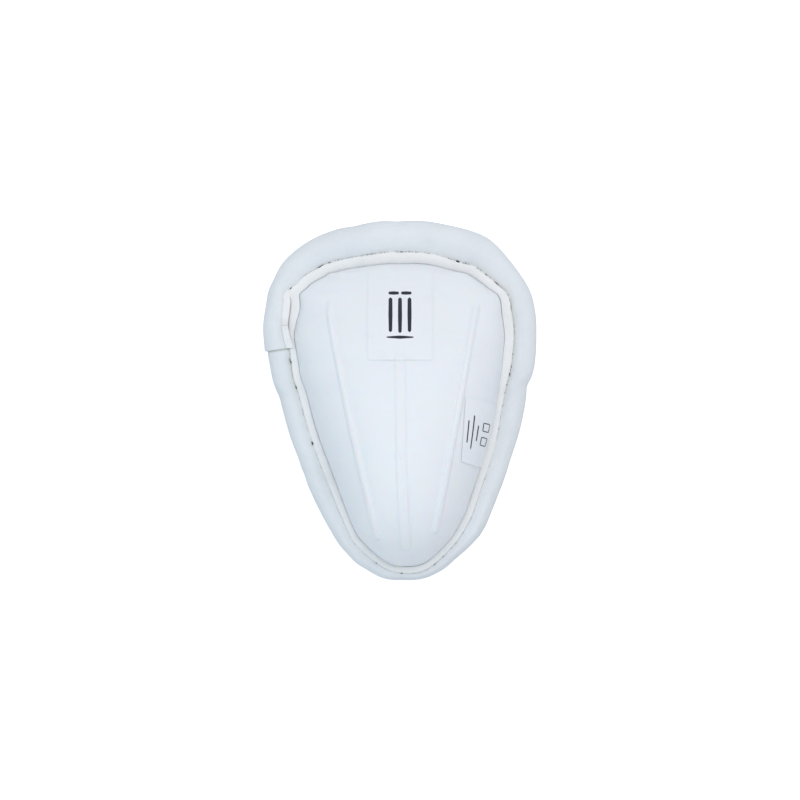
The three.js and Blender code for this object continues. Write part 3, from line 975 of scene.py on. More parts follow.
@dataclass
class MouldedCup:
    """The cup with its flange and ribs, one moulding, hollow and open below."""

    plan: RimPlan
    flange: Flange
    wall: float = 2.4 * MM
    wobble: float = 0.12 * MM
    wobble_size: float = 34 * MM
    spokes: int = 400
    outer_rings: int = 165
    inner_rings: int = 26
    shade_and_dirt_reach: float = 0.3 * MM
    shade_and_dirt_share: float = 0.08
    label_foot_y: float = 19 * MM
    label_tuck: float = 3 * MM
    step: float = 0.25 * MM

    def __post_init__(self) -> None:
        """Sets up the two domes and the ribs."""
        self.outer = CupDome(self.plan, self.flange.top)
        inner_height = self.outer.height - self.wall
        self.inner = CupDome(self.plan, self.flange.under, self.wall, inner_height)
        centre_top = (self.label_foot_y + self.label_tuck) / self.plan.half_length
        self.ribs = (
            Rib(
                self.plan,
                ((-0.508, 0.54), (-0.492, 0.40), (-0.342, -0.17), (-0.16, -0.77)),
                outer=RibSide.LEFT,
            ),
            Rib(self.plan, ((0.555, 0.53), (0.385, -0.19), (0.25, -0.735)), outer=RibSide.RIGHT),
            Rib(
                self.plan,
                ((0.0, centre_top), (0.01, -0.35), (0.04, -0.83)),
                width=5.4 * MM,
                height=0.6 * MM,
                foot_height=1.7 * MM,
            ),
        )

    def height(self, x: Array, y: Array) -> Array:
        """Height of the cup's outer face, ribs included."""
        relief = sum(rib.relief(x, y) for rib in self.ribs)
        return self.outer.at(x, y) + relief

    def lifted(self, x: Array, y: Array, lift: Array | float) -> Array:
        """Points a little off the outer face, along its normal.

        Args:
            x: Across the guard.
            y: Along the guard.
            lift: How far off the face.

        Returns:
            Rows of x, y and z.
        """
        slope_x = (self.height(x + self.step, y) - self.height(x - self.step, y)) / (2 * self.step)
        slope_y = (self.height(x, y + self.step) - self.height(x, y - self.step)) / (2 * self.step)
        normal = np.stack([-slope_x, -slope_y, np.ones_like(x)], axis=-1)
        normal /= np.linalg.norm(normal, axis=-1, keepdims=True)
        return np.stack([x, y, self.height(x, y)], axis=-1) + normal * np.asarray(lift)[..., None]

    def _rings(self, dome: CupDome, surface: Callable[[Array, Array], Array], shares: Array) -> Array:
        """Rings of the dome from the crown outwards, each with a point on every spoke."""
        foot = dome.mouth(np.arange(self.spokes) / self.spokes)
        x = shares[:, None] * foot[None, :, 0]
        y = dome.crown_y + shares[:, None] * (foot[None, :, 1] - dome.crown_y)
        z = surface(x.ravel(), y.ravel()).reshape(x.shape)
        z[-1] = dome.base(y[-1])
        return np.stack([x, y, z], axis=-1)

    def build(self, material: bpy.types.Material) -> bpy.types.Object:
        """Builds the moulding.

        Args:
            material: Its material.

        Returns:
            The piece.
        """
        counts = (self.outer_rings, self.inner_rings)
        outer_shares, inner_shares = (np.sin(np.arange(1, n + 1) / n * math.pi / 2) for n in counts)
        outer = self._rings(self.outer, self.height, outer_shares)
        inner = self._rings(self.inner, self.inner.at, inner_shares)
        unevenness = rough(outer.reshape(-1, 3), self.wobble_size, 3.1).reshape(outer.shape[:2])
        outer[..., 2] += self.wobble * unevenness * (1 - outer_shares[:, None] ** 6)
        rim = self.plan.at(np.arange(self.spokes) / self.spokes)
        reach = self.flange.reach(rim.roll)[:, None]
        rings = [outer]
        for inset, surface in ((0.3, self.flange.top), (0.0, None), (0.3, self.flange.under)):
            across = reach + inset * MM
            y = rim.plan_y(across)
            z = surface(y) if surface else (self.flange.top(y) + self.flange.under(y)) / 2
            rings.append(rim.points(across, z).transpose(1, 0, 2))
        rings.append(inner[::-1])
        stacked = np.concatenate(rings)
        vertices = np.concatenate([stacked.reshape(-1, 3), [self.outer.crown(), self.inner.crown()]])
        faces = ring_faces(len(stacked), self.spokes, False, True)
        last = (len(stacked) - 1) * self.spokes
        for i in range(self.spokes):
            j = (i + 1) % self.spokes
            faces.append((i, j, len(vertices) - 2))
            faces.append((last + j, last + i, len(vertices) - 1))
        crease = self._crease(stacked, rim)
        piece = make_piece("moulded_cup", vertices, faces, material, crease)
        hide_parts("shell")
        return piece

    def _crease(self, rings: Array, rim: RimSpan) -> Array:
        """Marks painted shade with soiling at the foot of the wall, and full painted shade on the flange in the
        grooves.
        """
        mouth = self.outer.mouth(rim.shares)
        away = np.hypot(*(rings[..., :2] - mouth[None]).transpose(2, 0, 1))
        # Painted shade with soiling, darkest where the wall meets the tape.
        marks = self.shade_and_dirt_share * np.clip(1 - away / self.shade_and_dirt_reach, 0, 1)
        marks[self.outer_rings] = 1
        marks[self.outer_rings + 1 :] = 0
        return np.concatenate([marks.ravel(), [0.0, 0.0]])


@dataclass(frozen=True)
class CoverKink:
    """A place where a stitch pulls the roll's cover in, or where it bulges if the depth is below nothing, in
    millimetres: where, how deep and how long."""

    x: float
    y: float
    depth: float
    length: float


COVER_KINKS = (
    CoverKink(62.5, 6.5, 0.45, 5.0),
    CoverKink(50.5, -39.0, -0.3, 14.0),
    CoverKink(39.0, -65.5, -0.4, 5.0),
    CoverKink(22.0, -82.5, -0.5, 9.0),
    CoverKink(-21.6, -80.1, -0.7, 10.0),
    CoverKink(-46.0, -36.7, 0.3, 7.0),
    CoverKink(-49.6, -28.7, 0.4, 10.0),
    CoverKink(-58.9, 0.0, -0.3, 9.0),
    CoverKink(-67.0, 35.0, -0.4, 16.0),
    CoverKink(-64.8, 54.4, -0.7, 11.0),
    CoverKink(-31.0, 84.2, -0.2, 6.0),
)


LAP_DIPS = ((-2.0, 0.0), (-1.2, 0.0), (-0.75, -0.02), (-0.45, -0.10), (-0.15, -0.14))
"""Places just before the lap and how proud the cover stands there, in millimetres."""

COVER_CLOTH = {
    "quality": 5,
    "mass": 0.02,
    "tension_stiffness": 12,
    "compression_stiffness": 12,
    "shear_stiffness": 4,
    "bending_stiffness": 0.3,
    "shrink_min": -0.035,
    "use_pressure": True,
    "uniform_pressure_force": 4,
    "vertex_group_mass": "held",
}


@dataclass
class PaddedRoll:
    """The roll of foam under its leathercloth cover, which grips the flange and laps itself on the left."""

    plan: RimPlan
    flange: Flange
    gap: float = 0.3 * MM
    lip: float = 1.6 * MM
    tuck: float = 9 * MM
    corner: float = 4 * MM
    widest: float = 0.45
    highest: float = 0.5
    crown_rise: float = 0.2
    inner_fall: float = 1.5
    lap_from_waist: float = 64 * MM
    lap_rise: float = 1.3 * MM
    lap_length: float = 30 * MM
    slack: float = 0.4 * MM
    puff_cap: float = 0.9 * MM
    puff_share: float = 0.6
    smoothing: int = 2
    lap_clear: float = 2.6 * MM
    lap_shade: float = 0.45
    slot_shade: float = 0.5
    lip_shade: float = 0.10
    sway: float = 0.20 * MM
    sway_length: float = 26 * MM
    quiver_length: float = 7 * MM
    pucker: float = 0.15 * MM
    pucker_length: float = 2.6 * MM
    jag: float = 0.12 * MM
    jag_length: float = 1.5 * MM
    fray_reach: float = 3.2 * MM
    fray_share: float = 0.24
    stations: int = 640
    cover_points: int = 34
    sim_stations: int = 260
    sim_cover_points: int = 18
    sim_scale: float = 10.0
    sim_frames: int = 20

    def __post_init__(self) -> None:
        """Finds the lap of the cover."""
        self.lap_share = self.plan.left_share(self.plan.half_length - self.lap_from_waist)
        self._grid: tuple[RimSpan, Array] | None = None

    def _above(self, rim: RimSpan, across: Array) -> Array:
        """Height of the slot's upper face, a gap above the flange."""
        return self.flange.top_along(rim, across) + self.gap

    def _below(self, rim: RimSpan, across: Array) -> Array:
        """Height of the slot's lower face, a gap below the flange."""
        return self.flange.under_along(rim, across) - self.gap

    def _heights(self, rim: RimSpan, swell: Array) -> tuple[Array, Array, Array]:
        """Heights of the lip and the crown, and how far across the crown is."""
        lip_top = self._above(rim, rim.roll) + self.lip
        crown = lip_top + self.crown_rise * rim.roll + swell
        return lip_top, crown, self.highest * rim.roll

    def cover(self, rim: RimSpan, swell: Array, turns: Array) -> tuple[Array, Array]:
        """The cover's section, from the foot's outer edge round the outside and over the crown to the lip.

        Args:
            rim: The rim at each station.
            swell: How far the cover stands proud at each station.
            turns: Places on the section, from 0 to 3: a lower, an upper and an inner quarter.

        Returns:
            Distance in from the edge, and height, for each station and place.
        """
        lip_top, crown, crown_across = (value[:, None] for value in self._heights(rim, swell))
        proud, roll = swell[:, None], rim.roll[:, None]
        waist = self.widest * crown
        angle = (turns - np.floor(np.minimum(turns, 2.999)))[None, :] * math.pi / 2
        part = np.minimum(np.floor(turns), 2)[None, :]
        lower = self.corner * (1 - np.sin(angle)) - proud, waist * (1 - np.cos(angle))
        upper = (crown_across + proud) * (1 - np.cos(angle)) - proud, waist + (crown - waist) * np.sin(angle)
        fall = np.abs(np.cos(angle)) ** self.inner_fall
        inner = crown_across + (roll - crown_across) * np.sin(angle), lip_top + (crown - lip_top) * fall
        across = np.where(part == 0, lower[0], np.where(part == 1, upper[0], inner[0]))
        z = np.where(part == 0, lower[1], np.where(part == 1, upper[1], inner[1]))
        return across, z

    def _hidden(self, rim: RimSpan) -> tuple[Array, Array]:
        """The rest of the section: from the lip into the slot, round the underside and back to the foot."""
        roll = rim.roll
        slot = self.flange.reach(roll) - self.gap
        inner = roll + rim.strip + self.tuck * np.maximum(0, 1 - roll / self.plan.roll_width)
        belly = self._below(rim, inner)
        rows = [(roll, self._above(rim, roll) + self.lip / 2)]
        rows += [(across, self._above(rim, across)) for across in (roll, (roll + slot) / 2, slot)]
        rows += [(across, self._below(rim, across)) for across in (slot, (slot + inner) / 2)]
        for turn in np.radians([0, 18, 36, 54, 72, 90]):
            lean = self.corner / 2 * (1 - math.sin(turn))
            rows.append((inner - lean, belly / 2 * (1 + math.cos(turn))))
        for turn in np.radians([18, 36, 54, 72, 90]):
            lean = self.corner * (1 - math.cos(turn))
            rows.append((inner - lean, belly / 2 * (1 - math.sin(turn))))
        rows += [(inner * share, np.zeros_like(roll)) for share in (0.7, 0.5, 0.35)]
        return np.stack([row[0] for row in rows], axis=1), np.stack([row[1] for row in rows], axis=1)

    def _station_shares(self) -> tuple[Array, Array]:
        """Places of the stations from the lap round to it again, and how proud the cover stands at each."""
        shares = self.lap_share + np.arange(self.stations) / self.stations
        beyond = (shares - self.lap_share) * self.plan.perimeter
        swell = self.lap_rise * np.clip(1 - beyond / self.lap_length, 0, 1)
        closing, dips = np.array(LAP_DIPS).T * MM
        keep = shares < self.lap_share + 1 - self.lap_clear / self.plan.perimeter
        shares = np.concatenate([shares[keep], self.lap_share + 1 + closing / self.plan.perimeter])
        return shares, np.concatenate([swell[keep], dips])

    def _settle(self) -> Array:
        """Lets the cover settle over the foam under pressure, held at its foot and at its seam.

        Returns:
            How far each point of the cover moved, for each station and place of the lighter mesh.
        """
        shares = self.lap_share + np.arange(self.sim_stations) / self.sim_stations
        rim = self.plan.at(shares)
        turns = np.linspace(0, 3, self.sim_cover_points)
        base = np.zeros(self.sim_stations)
        cover = rim.points(*self.cover(rim, base - self.slack, turns))
        hidden = rim.points(*self._hidden(rim))
        section = np.concatenate([cover, hidden], axis=1)
        points = section.shape[1]
        mesh = bpy.data.meshes.new("cover_settling")
        faces = ring_faces(self.sim_stations, points, True, True)
        mesh.from_pydata((section.reshape(-1, 3) * self.sim_scale).tolist(), [], faces)
        cloth_piece = add_object("cover_settling", mesh)
        held = cloth_piece.vertex_groups.new(name="held")
        free = (np.arange(points) > 0) & (np.arange(points) < self.sim_cover_points - 1)
        numbers = np.arange(self.sim_stations * points)
        held.add(numbers[~np.tile(free, self.sim_stations)].tolist(), 1.0, "REPLACE")
        cloth = cloth_piece.modifiers.new("cloth", "CLOTH")
        for label, value in COVER_CLOTH.items():
            setattr(cloth.settings, label, value)
        cloth.settings.effector_weights.gravity = 0
        cloth.collision_settings.use_collision = False
        cloth.point_cache.frame_start, cloth.point_cache.frame_end = 1, self.sim_frames
        scene = bpy.context.scene
        for number in range(1, self.sim_frames + 1):
            scene.frame_set(number)
        shaped = cloth_piece.evaluated_get(bpy.context.evaluated_depsgraph_get())
        places = np.zeros(len(mesh.vertices) * 3)
        shaped.data.vertices.foreach_get("co", places)
        moved = places.reshape(section.shape) / self.sim_scale - section
        bpy.data.objects.remove(cloth_piece)
        bpy.data.meshes.remove(mesh)
        scene.frame_set(1)
        moved = moved[:, : self.sim_cover_points]
        reach = np.linalg.norm(moved, axis=-1, keepdims=True)
        LOG.info("cover settled by %.2f mm at most, %.2f mm on average", reach.max() / MM, reach.mean() / MM)
        moved *= np.minimum(1, self.puff_cap / np.maximum(reach, 1e-9))
        for _ in range(self.smoothing):
            moved = (np.roll(moved, 1, axis=0) + 2 * moved + np.roll(moved, -1, axis=0)) / 4
        even = moved.mean(axis=0, keepdims=True)
        return even + (moved - even) * self.puff_share

    def _puff(self, shares: Array, turns: Array) -> Array:
        """Movement of the settled cover at every station and place of the final mesh."""
        moved = self._settle()
        around = catmull_rom(moved, ((shares - self.lap_share) % 1) * self.sim_stations, True)
        places = turns / 3 * (self.sim_cover_points - 1)
        return catmull_rom(around.transpose(1, 0, 2), places, False).transpose(1, 0, 2)

    def _hand_work(self, rim: RimSpan, turns: Array) -> tuple[Array, Array]:
        """Unevenness of a hand-covered roll, as changes of the distance in and of the height."""
        shares = rim.shares
        round_out = np.sin(np.clip(turns, 0, 3) / 3 * math.pi)[None, :]
        slow = self.plan.ripple(shares, self.sway_length, 1.7)[:, None]
        quick = self.plan.ripple(shares, self.quiver_length, 5.3)[:, None]
        across = -self.sway * (slow + 0.12 * quick) * round_out
        z = self.sway * (0.8 * slow + 0.2 * quick) * round_out
        for kink in COVER_KINKS:
            place = self.plan.nearest(kink.x * MM, kink.y * MM)
            away = self.plan.away(shares, place)
            tent = np.exp(-((away / (kink.length * MM / 2)) ** 2))[:, None]
            across = across + kink.depth * MM * tent * round_out
        near_seam = smooth_step(turns, 2.2, 2.9)[None, :]
        pulls = np.abs(self.plan.ripple(shares, self.pucker_length, 9.1))[:, None]
        z = z - self.pucker * pulls * near_seam
        teeth = self.plan.ripple(shares, self.jag_length, 4.4)[:, None]
        across = across + self.jag * teeth * smooth_step(turns, 2.7, 3.0)[None, :]
        return across, z

    def build(self, material: bpy.types.Material) -> bpy.types.Object:
        """Builds the roll.

        Args:
            material: Its material.

        Returns:
            The piece.
        """
        shares, swell = self._station_shares()
        rim = self.plan.at(shares)
        turns = np.linspace(0, 3, self.cover_points)
        across, z = self.cover(rim, swell - self.slack * 1, turns)
        uneven_across, uneven_z = self._hand_work(rim, turns)
        cover = rim.points(across + uneven_across, z + uneven_z) + self._puff(shares, turns)
        hidden = rim.points(*self._hidden(rim))
        self._grid = (rim, cover)
        section = np.concatenate([cover, hidden], axis=1)
        crease = np.zeros(section.shape[:2])
        from_seam = np.clip(1 - (rim.roll[:, None] - across) / self.fray_reach, 0, 1)
        crease[:, : self.cover_points] = self.fray_share * Grooves.at(shares).fray[:, None] * from_seam
        crease[:, self.cover_points : self.cover_points + 3] = self.slot_shade
        crease[:, self.cover_points - 1] += self.lip_shade
        lap = np.argsort(np.abs((shares - self.lap_share - 1) * self.plan.perimeter))[:3]
        crease[lap, : self.cover_points] = self.lap_shade
        faces = ring_faces(len(shares), section.shape[1], True, True)
        piece = make_piece(
            "padded_rim_roll", section.reshape(-1, 3), faces, material, crease.ravel(), 60
        )
        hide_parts("padded_roll")
        return piece

    def top_at(self, shares: Array, across: Array) -> Array:
        """Height of the finished cover at distances in from the edge, over its upper half."""
        rim, cover = self._grid
        upper = cover[:, self.cover_points // 3 :]
        heights = []
        for share, distance in zip(shares, across):
            station = int(np.argmin(np.abs((rim.shares - share + 0.5) % 1 - 0.5)))
            plan = upper[station, :, :2] - rim.edge[station]
            reach = plan @ rim.inward[station]
            order = np.argsort(reach)
            heights.append(float(np.interp(distance, reach[order], upper[station, order, 2])))
        return np.array(heights)


@dataclass
class EdgeBinding:
    """The binding strip, a folded tape round the flange between the roll's seam and the cup's wall."""

    plan: RimPlan
    flange: Flange
    gap: float = 0.3 * MM
    height: float = 2.2 * MM
    sink: float = 0.25 * MM
    stations: int = 900
    top_points: int = 15
    waviness: float = 0.05 * MM
    waviness_length: float = 16 * MM
    ragged: float = 0.06 * MM
    ragged_length: float = 2.2 * MM
    unevenness: float = 0.06
    unevenness_length: float = 11 * MM
    thin_edge: float = 0.3
    lean_shade: float = 0.18
    foot_shade_and_dirt: float = 0.8
    shoulder_shade_and_dirt: float = 0.15

    def _roundness(self, shares: Array) -> Array:
        """Power of the section's curve: near 2 it is a round tube, as at the tip, and higher a flat tape."""
        from_tip = np.abs((shares % 1) - 0.5) * 2
        return 2.1 + 1.8 * smooth_step(from_tip, 0.25, 0.7)

    def top_along(self, rim: RimSpan, across: Array, share: float = 1.0) -> Array:
        """Height of a share of the strip at one distance in from the edge for each place on the rim."""
        return self.flange.top_along(rim, across) + self.gap + self.height * share

    def section(self, rim: RimSpan) -> tuple[Array, Array, Array, Array]:
        """The strip's two edges and its section.

        Args:
            rim: The rim at each station.

        Returns:
            Distance in and height of every point, then the distance in of the outer and of the inner edge.
        """
        shares = rim.shares
        grooves = Grooves.at(shares)
        teeth = self.ragged * self.plan.ripple(shares, self.ragged_length, 6.2)
        waves = self.waviness * self.plan.ripple(shares, self.waviness_length, 8.8)
        outer = rim.roll + grooves.seam + teeth
        inner = rim.roll + rim.strip - grooves.wall + waves
        middle, half = (outer + inner) / 2, (inner - outer) / 2
        angle = np.linspace(math.pi, 0, self.top_points)[None, :]
        power = 2 / self._roundness(shares)[:, None]
        across = middle[:, None] + half[:, None] * np.sign(np.cos(angle)) * np.abs(np.cos(angle)) ** power
        uneven = self.unevenness * self.plan.ripple(shares, self.unevenness_length, 2.4)
        tall = self.height * (1 + uneven)[:, None]
        fill = np.where(np.cos(angle) < 0, grooves.seam_fill[:, None], grooves.wall_fill[:, None])
        rise = fill * tall + (1 - fill) * tall * np.abs(np.sin(angle)) ** power
        sloped = tall * (self.thin_edge + (1 - self.thin_edge) * np.abs(np.sin(angle)))
        rise = np.where(np.cos(angle) > 0, rise + grooves.lean[:, None] * (sloped - rise), rise)
        across = np.concatenate([outer[:, None], across, inner[:, None]], axis=1)
        foot = np.full_like(tall, -self.sink)
        rise = np.concatenate([foot, rise, foot], axis=1)
        z = self.flange.top(rim.plan_y(across)) + self.gap + rise
        return across, z, outer, inner

    def build(self, material: bpy.types.Material) -> bpy.types.Object:
        """Builds the strip.

        Args:
            material: Its material.

        Returns:
            The piece.
        """
        shares = np.arange(self.stations) / self.stations
        rim = self.plan.at(shares)
        across, z, outer, inner = self.section(rim)
        vertices = rim.points(across, z).reshape(-1, 3)
        grooves = Grooves.at(shares)
        open_sides = np.stack([1 - grooves.seam_fill, 1 - grooves.wall_fill], axis=1)
        middle, half = ((outer + inner) / 2)[:, None], ((inner - outer) / 2)[:, None]
        # Painted shade: where the tape leans, its inner half darkens towards the cup, as its sloping face would
        # lie in shade.
        to_cup = np.clip(0.3 + 0.7 * (across - middle) / half, 0, 0.75)
        crease = self.lean_shade * grooves.lean[:, None] * to_cup
        # Painted shade with soiling at the tape's feet and shoulders, stronger where the grooves stand open.
        crease[:, (0, -1)] = self.foot_shade_and_dirt * open_sides
        crease[:, (1, -2)] += self.shoulder_shade_and_dirt * open_sides
        faces = ring_faces(self.stations, across.shape[1], True, True)
        piece = make_piece("rim_binding", vertices, faces, material, crease.ravel(), 75)
        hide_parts("edge_binding")
        return piece


@dataclass(frozen=True)
class TailRow:
    """A place on the binding's loose end: how far along it, how far over the roll as a share of its width, and
    its width and rise as shares of the full ones."""

    along: float
    over: float
    width: float
    rise: float


TAIL_ROWS = (
    TailRow(1.06, 0.20, 0.60, -0.9),
    TailRow(1.02, 0.34, 0.92, -0.1),
    TailRow(0.95, 0.50, 1.02, 0.1),
    TailRow(0.80, 0.58, 1.06, 0.0),
    TailRow(0.55, 0.56, 0.98, 0.0),
    TailRow(0.43, 0.52, 0.80, -0.1),
    TailRow(0.415, 0.50, 0.92, 0.75),
    TailRow(0.25, 0.32, 0.98, 0.55),
    TailRow(0.10, 0.08, 1.04, 0.40),
    TailRow(0.00, -0.10, 1.10, 0.30),
)


@dataclass
class BindingEnd:
    """The strip's loose end: a second strand outside the first, with a tab laid over it and cut square."""

    plan: RimPlan
    roll: PaddedRoll
    binding: EdgeBinding
    length: float = 30 * MM
    width: float = 3.5 * MM
    thickness: float = 1.1 * MM
    bed: float = 0.05 * MM
    full_rise: float = 0.9 * MM
    sunk: float = 0.4 * MM
    flat_share: float = 0.35
    bed_points: int = 11
    tab_end: float = 0.415
    tab_shadow: float = 0.018
    edge_shade: float = 0.10
    under_shade: float = 0.4
    steps: int = 110
    top_points: int = 11

    def _row_values(self, along: Array) -> Array:
        """Reads the table at places along the end, straight between its rows."""
        rows = sorted(TAIL_ROWS, key=lambda row: row.along)
        knots = [row.along for row in rows]
        columns = [[getattr(row, name) for row in rows] for name in ("over", "width", "rise")]
        return np.stack([np.interp(along, knots, column) for column in columns], axis=1)

    def build(self, material: bpy.types.Material) -> bpy.types.Object:
        """Builds the loose end.

        Args:
            material: Its material.

        Returns:
            The piece.
        """
        fold = self.tab_end + np.array([-0.001, 0.001, self.tab_shadow / 2, self.tab_shadow])
        along = np.unique(np.concatenate([np.linspace(0, 1.1, self.steps), fold]))
        over, width, rise = self._row_values(along).T
        shares = self.roll.lap_share + along * self.length / self.plan.perimeter
        rim = self.plan.at(shares)
        middle = rim.roll - over * self.width
        half = width * self.width / 2
        rests = []
        for side in (-0.7, 0.0, 0.7):
            across = middle + side * half
            on_roll = self.roll.top_at(shares, np.minimum(across, rim.roll))
            rests.append(np.where(across > rim.roll, self.binding.top_along(rim, across), on_roll))
        rest = np.pad(np.max(rests, axis=0), self.bed_points // 2, mode="edge")
        smoothed = np.convolve(rest, np.ones(self.bed_points) / self.bed_points, mode="valid")
        under = smoothed + self.bed + rise * self.full_rise
        angle = np.linspace(math.pi, 0, self.top_points)[None, :]
        lift = self.thickness * (self.flat_share + (1 - self.flat_share) * np.abs(np.sin(angle)) ** 0.55)
        reach = half[:, None] * np.sign(np.cos(angle)) * np.abs(np.cos(angle)) ** 0.6
        top = middle[:, None] + reach
        top_z = under[:, None] + lift * (0.9 + 0.1 * self.plan.ripple(shares, 6 * MM, 3.3)[:, None])
        bottom = middle[:, None] + half[:, None] * np.linspace(0.95, -0.95, 5)[None, :]
        bottom_z = np.repeat((under - self.sunk)[:, None], bottom.shape[1], axis=1)
        across = np.concatenate([top, bottom], axis=1)
        tubes = Tubes()
        tubes.add(rim.points(across, np.concatenate([top_z, bottom_z], axis=1)))
        crease = np.zeros(across.shape)
        crease[:, (0, self.top_points - 1)] = self.edge_shade
        crease[:, self.top_points :] = self.under_shade
        under_tab = (along > self.tab_end) & (along < self.tab_end + self.tab_shadow)
        crease[under_tab] = np.maximum(crease[under_tab], self.under_shade)
        piece = make_piece(
            "binding_end", tubes.vertices(), tubes.faces, material, crease.ravel(), 55
        )
        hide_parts("binding_tail")
        return piece


@dataclass
class Film:
    """A thin film stuck on the cup. place gives its plan point for shares across and along, from 0 to 1."""

    name: str
    node: str
    cup: MouldedCup
    place: Callable[[Array, Array], tuple[Array, Array]]
    columns: int
    rows: int
    thickness: float = 0.16 * MM
    bed: float = 0.05 * MM
    edge_lift: float = 0.05 * MM
    fold_lines: tuple[float, ...] = ()
    fold_depth: float = 0.07 * MM
    fold_width: float = 0.012
    edge_share: float = 0.06
    under_shade: float = 0.15

    def _lift(self, across: Array, along: Array) -> Array:
        """Height of the film's underside off the cup, raised a little along its edges."""
        from_edge = np.minimum(np.minimum(across, 1 - across), np.minimum(along, 1 - along))
        lift = self.bed + self.edge_lift * (1 - smooth_step(from_edge, 0, self.edge_share))
        for line in self.fold_lines:
            lift = lift - self.fold_depth * np.exp(-(((across - line) / self.fold_width) ** 2))
        return lift

    def top(self, across: Array, along: Array, above: float = 0.0) -> Array:
        """Points on the film's upper face, or a little above it."""
        x, y = self.place(across, along)
        return self.cup.lifted(x, y, self._lift(across, along) + self.thickness + above)

    def build(self, material: bpy.types.Material) -> bpy.types.Object:
        """Builds the film.

        Args:
            material: Its material.

        Returns:
            The piece.
        """
        across, along = np.meshgrid(np.linspace(0, 1, self.columns), np.linspace(0, 1, self.rows))
        x, y = self.place(across.ravel(), along.ravel())
        upper = self.top(across.ravel(), along.ravel())
        lower = self.cup.lifted(x, y, self._lift(across.ravel(), along.ravel()))
        vertices = np.concatenate([upper, lower])
        count = self.columns * self.rows
        top = ring_faces(self.rows, self.columns, False, False)
        faces = top + [tuple(reversed([corner + count for corner in face])) for face in top]
        border = list(range(self.columns))
        border += [row * self.columns + self.columns - 1 for row in range(1, self.rows)]
        border += [(self.rows - 1) * self.columns + column for column in range(self.columns - 2, -1, -1)]
        border += [row * self.columns for row in range(self.rows - 2, 0, -1)]
        for here, there in zip(border, border[1:] + border[:1]):
            faces.append((here, there, there + count, here + count))
        crease = np.concatenate([np.zeros(count), np.full(count, self.under_shade)])
        piece = make_piece(self.name, vertices, faces, material, crease, 40)
        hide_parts(self.node)
        return piece


@dataclass(frozen=True)
class InkStroke:
    """A printed stroke, in millimetres from its film's middle: its ends, and its widths at three places."""

    x0: float
    y0: float
    x1: float
    y1: float
    start: float
    middle: float
    end: float


@dataclass
class Print:
    """Ink strokes on a film."""

    name: str
    film: Film
    width: float
    length: float
    strokes: tuple[InkStroke, ...]
    above: float = 0.02 * MM
    depth: float = 0.10 * MM
    round_end: float = 0.35
    steps: int = 26
    points: int = 5

    def build(self, material: bpy.types.Material) -> bpy.types.Object:
        """Builds every stroke as a closed thin slab that follows the film.

        Args:
            material: The ink.

        Returns:
            The piece.
        """
        tubes = Tubes()
        share = np.linspace(0, 1, self.steps)
        for stroke in self.strokes:
            x = stroke.x0 + (stroke.x1 - stroke.x0) * share
            y = stroke.y0 + (stroke.y1 - stroke.y0) * share
            run = math.hypot(stroke.x1 - stroke.x0, stroke.y1 - stroke.y0)
            side_x, side_y = (stroke.y1 - stroke.y0) / run, -(stroke.x1 - stroke.x0) / run
            wide = np.interp(share, [0, 0.5, 1], [stroke.start, stroke.middle, stroke.end])
            from_end = np.minimum(np.minimum(share, 1 - share) * run / self.round_end, 1)
            ends = np.sqrt(np.clip(1 - (1 - from_end) ** 2, 0.02, 1))
            half = (wide * ends / 2)[:, None] * np.linspace(-1, 1, self.points)[None, :]
            across = 0.5 + (x[:, None] + side_x * half) * MM / self.width
            along = 0.5 - (y[:, None] + side_y * half) * MM / self.length
            top, low = (
                self.film.top(across.ravel(), along.ravel(), above).reshape(self.steps, self.points, 3)
                for above in (self.above, -self.depth)
            )
            tubes.add(np.concatenate([top, low[:, ::-1]], axis=1))
        return make_piece(self.name, tubes.vertices(), tubes.faces, material, None, 30)


@dataclass(frozen=True)
class SeamSpot:
    """A needle hole or frayed gap on the seam, painted as a dark shadow spot, in millimetres: where, how long and
    how wide.
    """

    x: float
    y: float
    length: float
    width: float


SEAM_SPOTS = (
    SeamSpot(-39.0, 65.0, 4.5, 0.40),
    SeamSpot(-34.6, 67.2, 2.0, 0.35),
    SeamSpot(-53.5, 55.0, 1.6, 0.50),
    SeamSpot(29.4, 67.0, 2.8, 0.85),
    SeamSpot(33.5, 66.3, 1.2, 0.30),
    SeamSpot(41.7, 61.9, 1.2, 0.50),
    SeamSpot(48.3, 57.0, 3.4, 0.40),
    SeamSpot(0.5, 72.6, 2.0, 0.30),
    SeamSpot(53.5, 14.3, 1.8, 0.35),
    SeamSpot(-53.6, 18.0, 1.4, 0.50),
    SeamSpot(-50.0, 7.8, 1.3, 0.45),
    SeamSpot(-42.6, -21.1, 2.0, 0.65),
    SeamSpot(-11.3, -80.4, 0.9, 0.35),
    SeamSpot(0.6, -84.5, 1.2, 0.45),
    SeamSpot(18.4, -83.5, 0.8, 0.35),
    SeamSpot(22.0, -78.7, 0.6, 0.30),
)


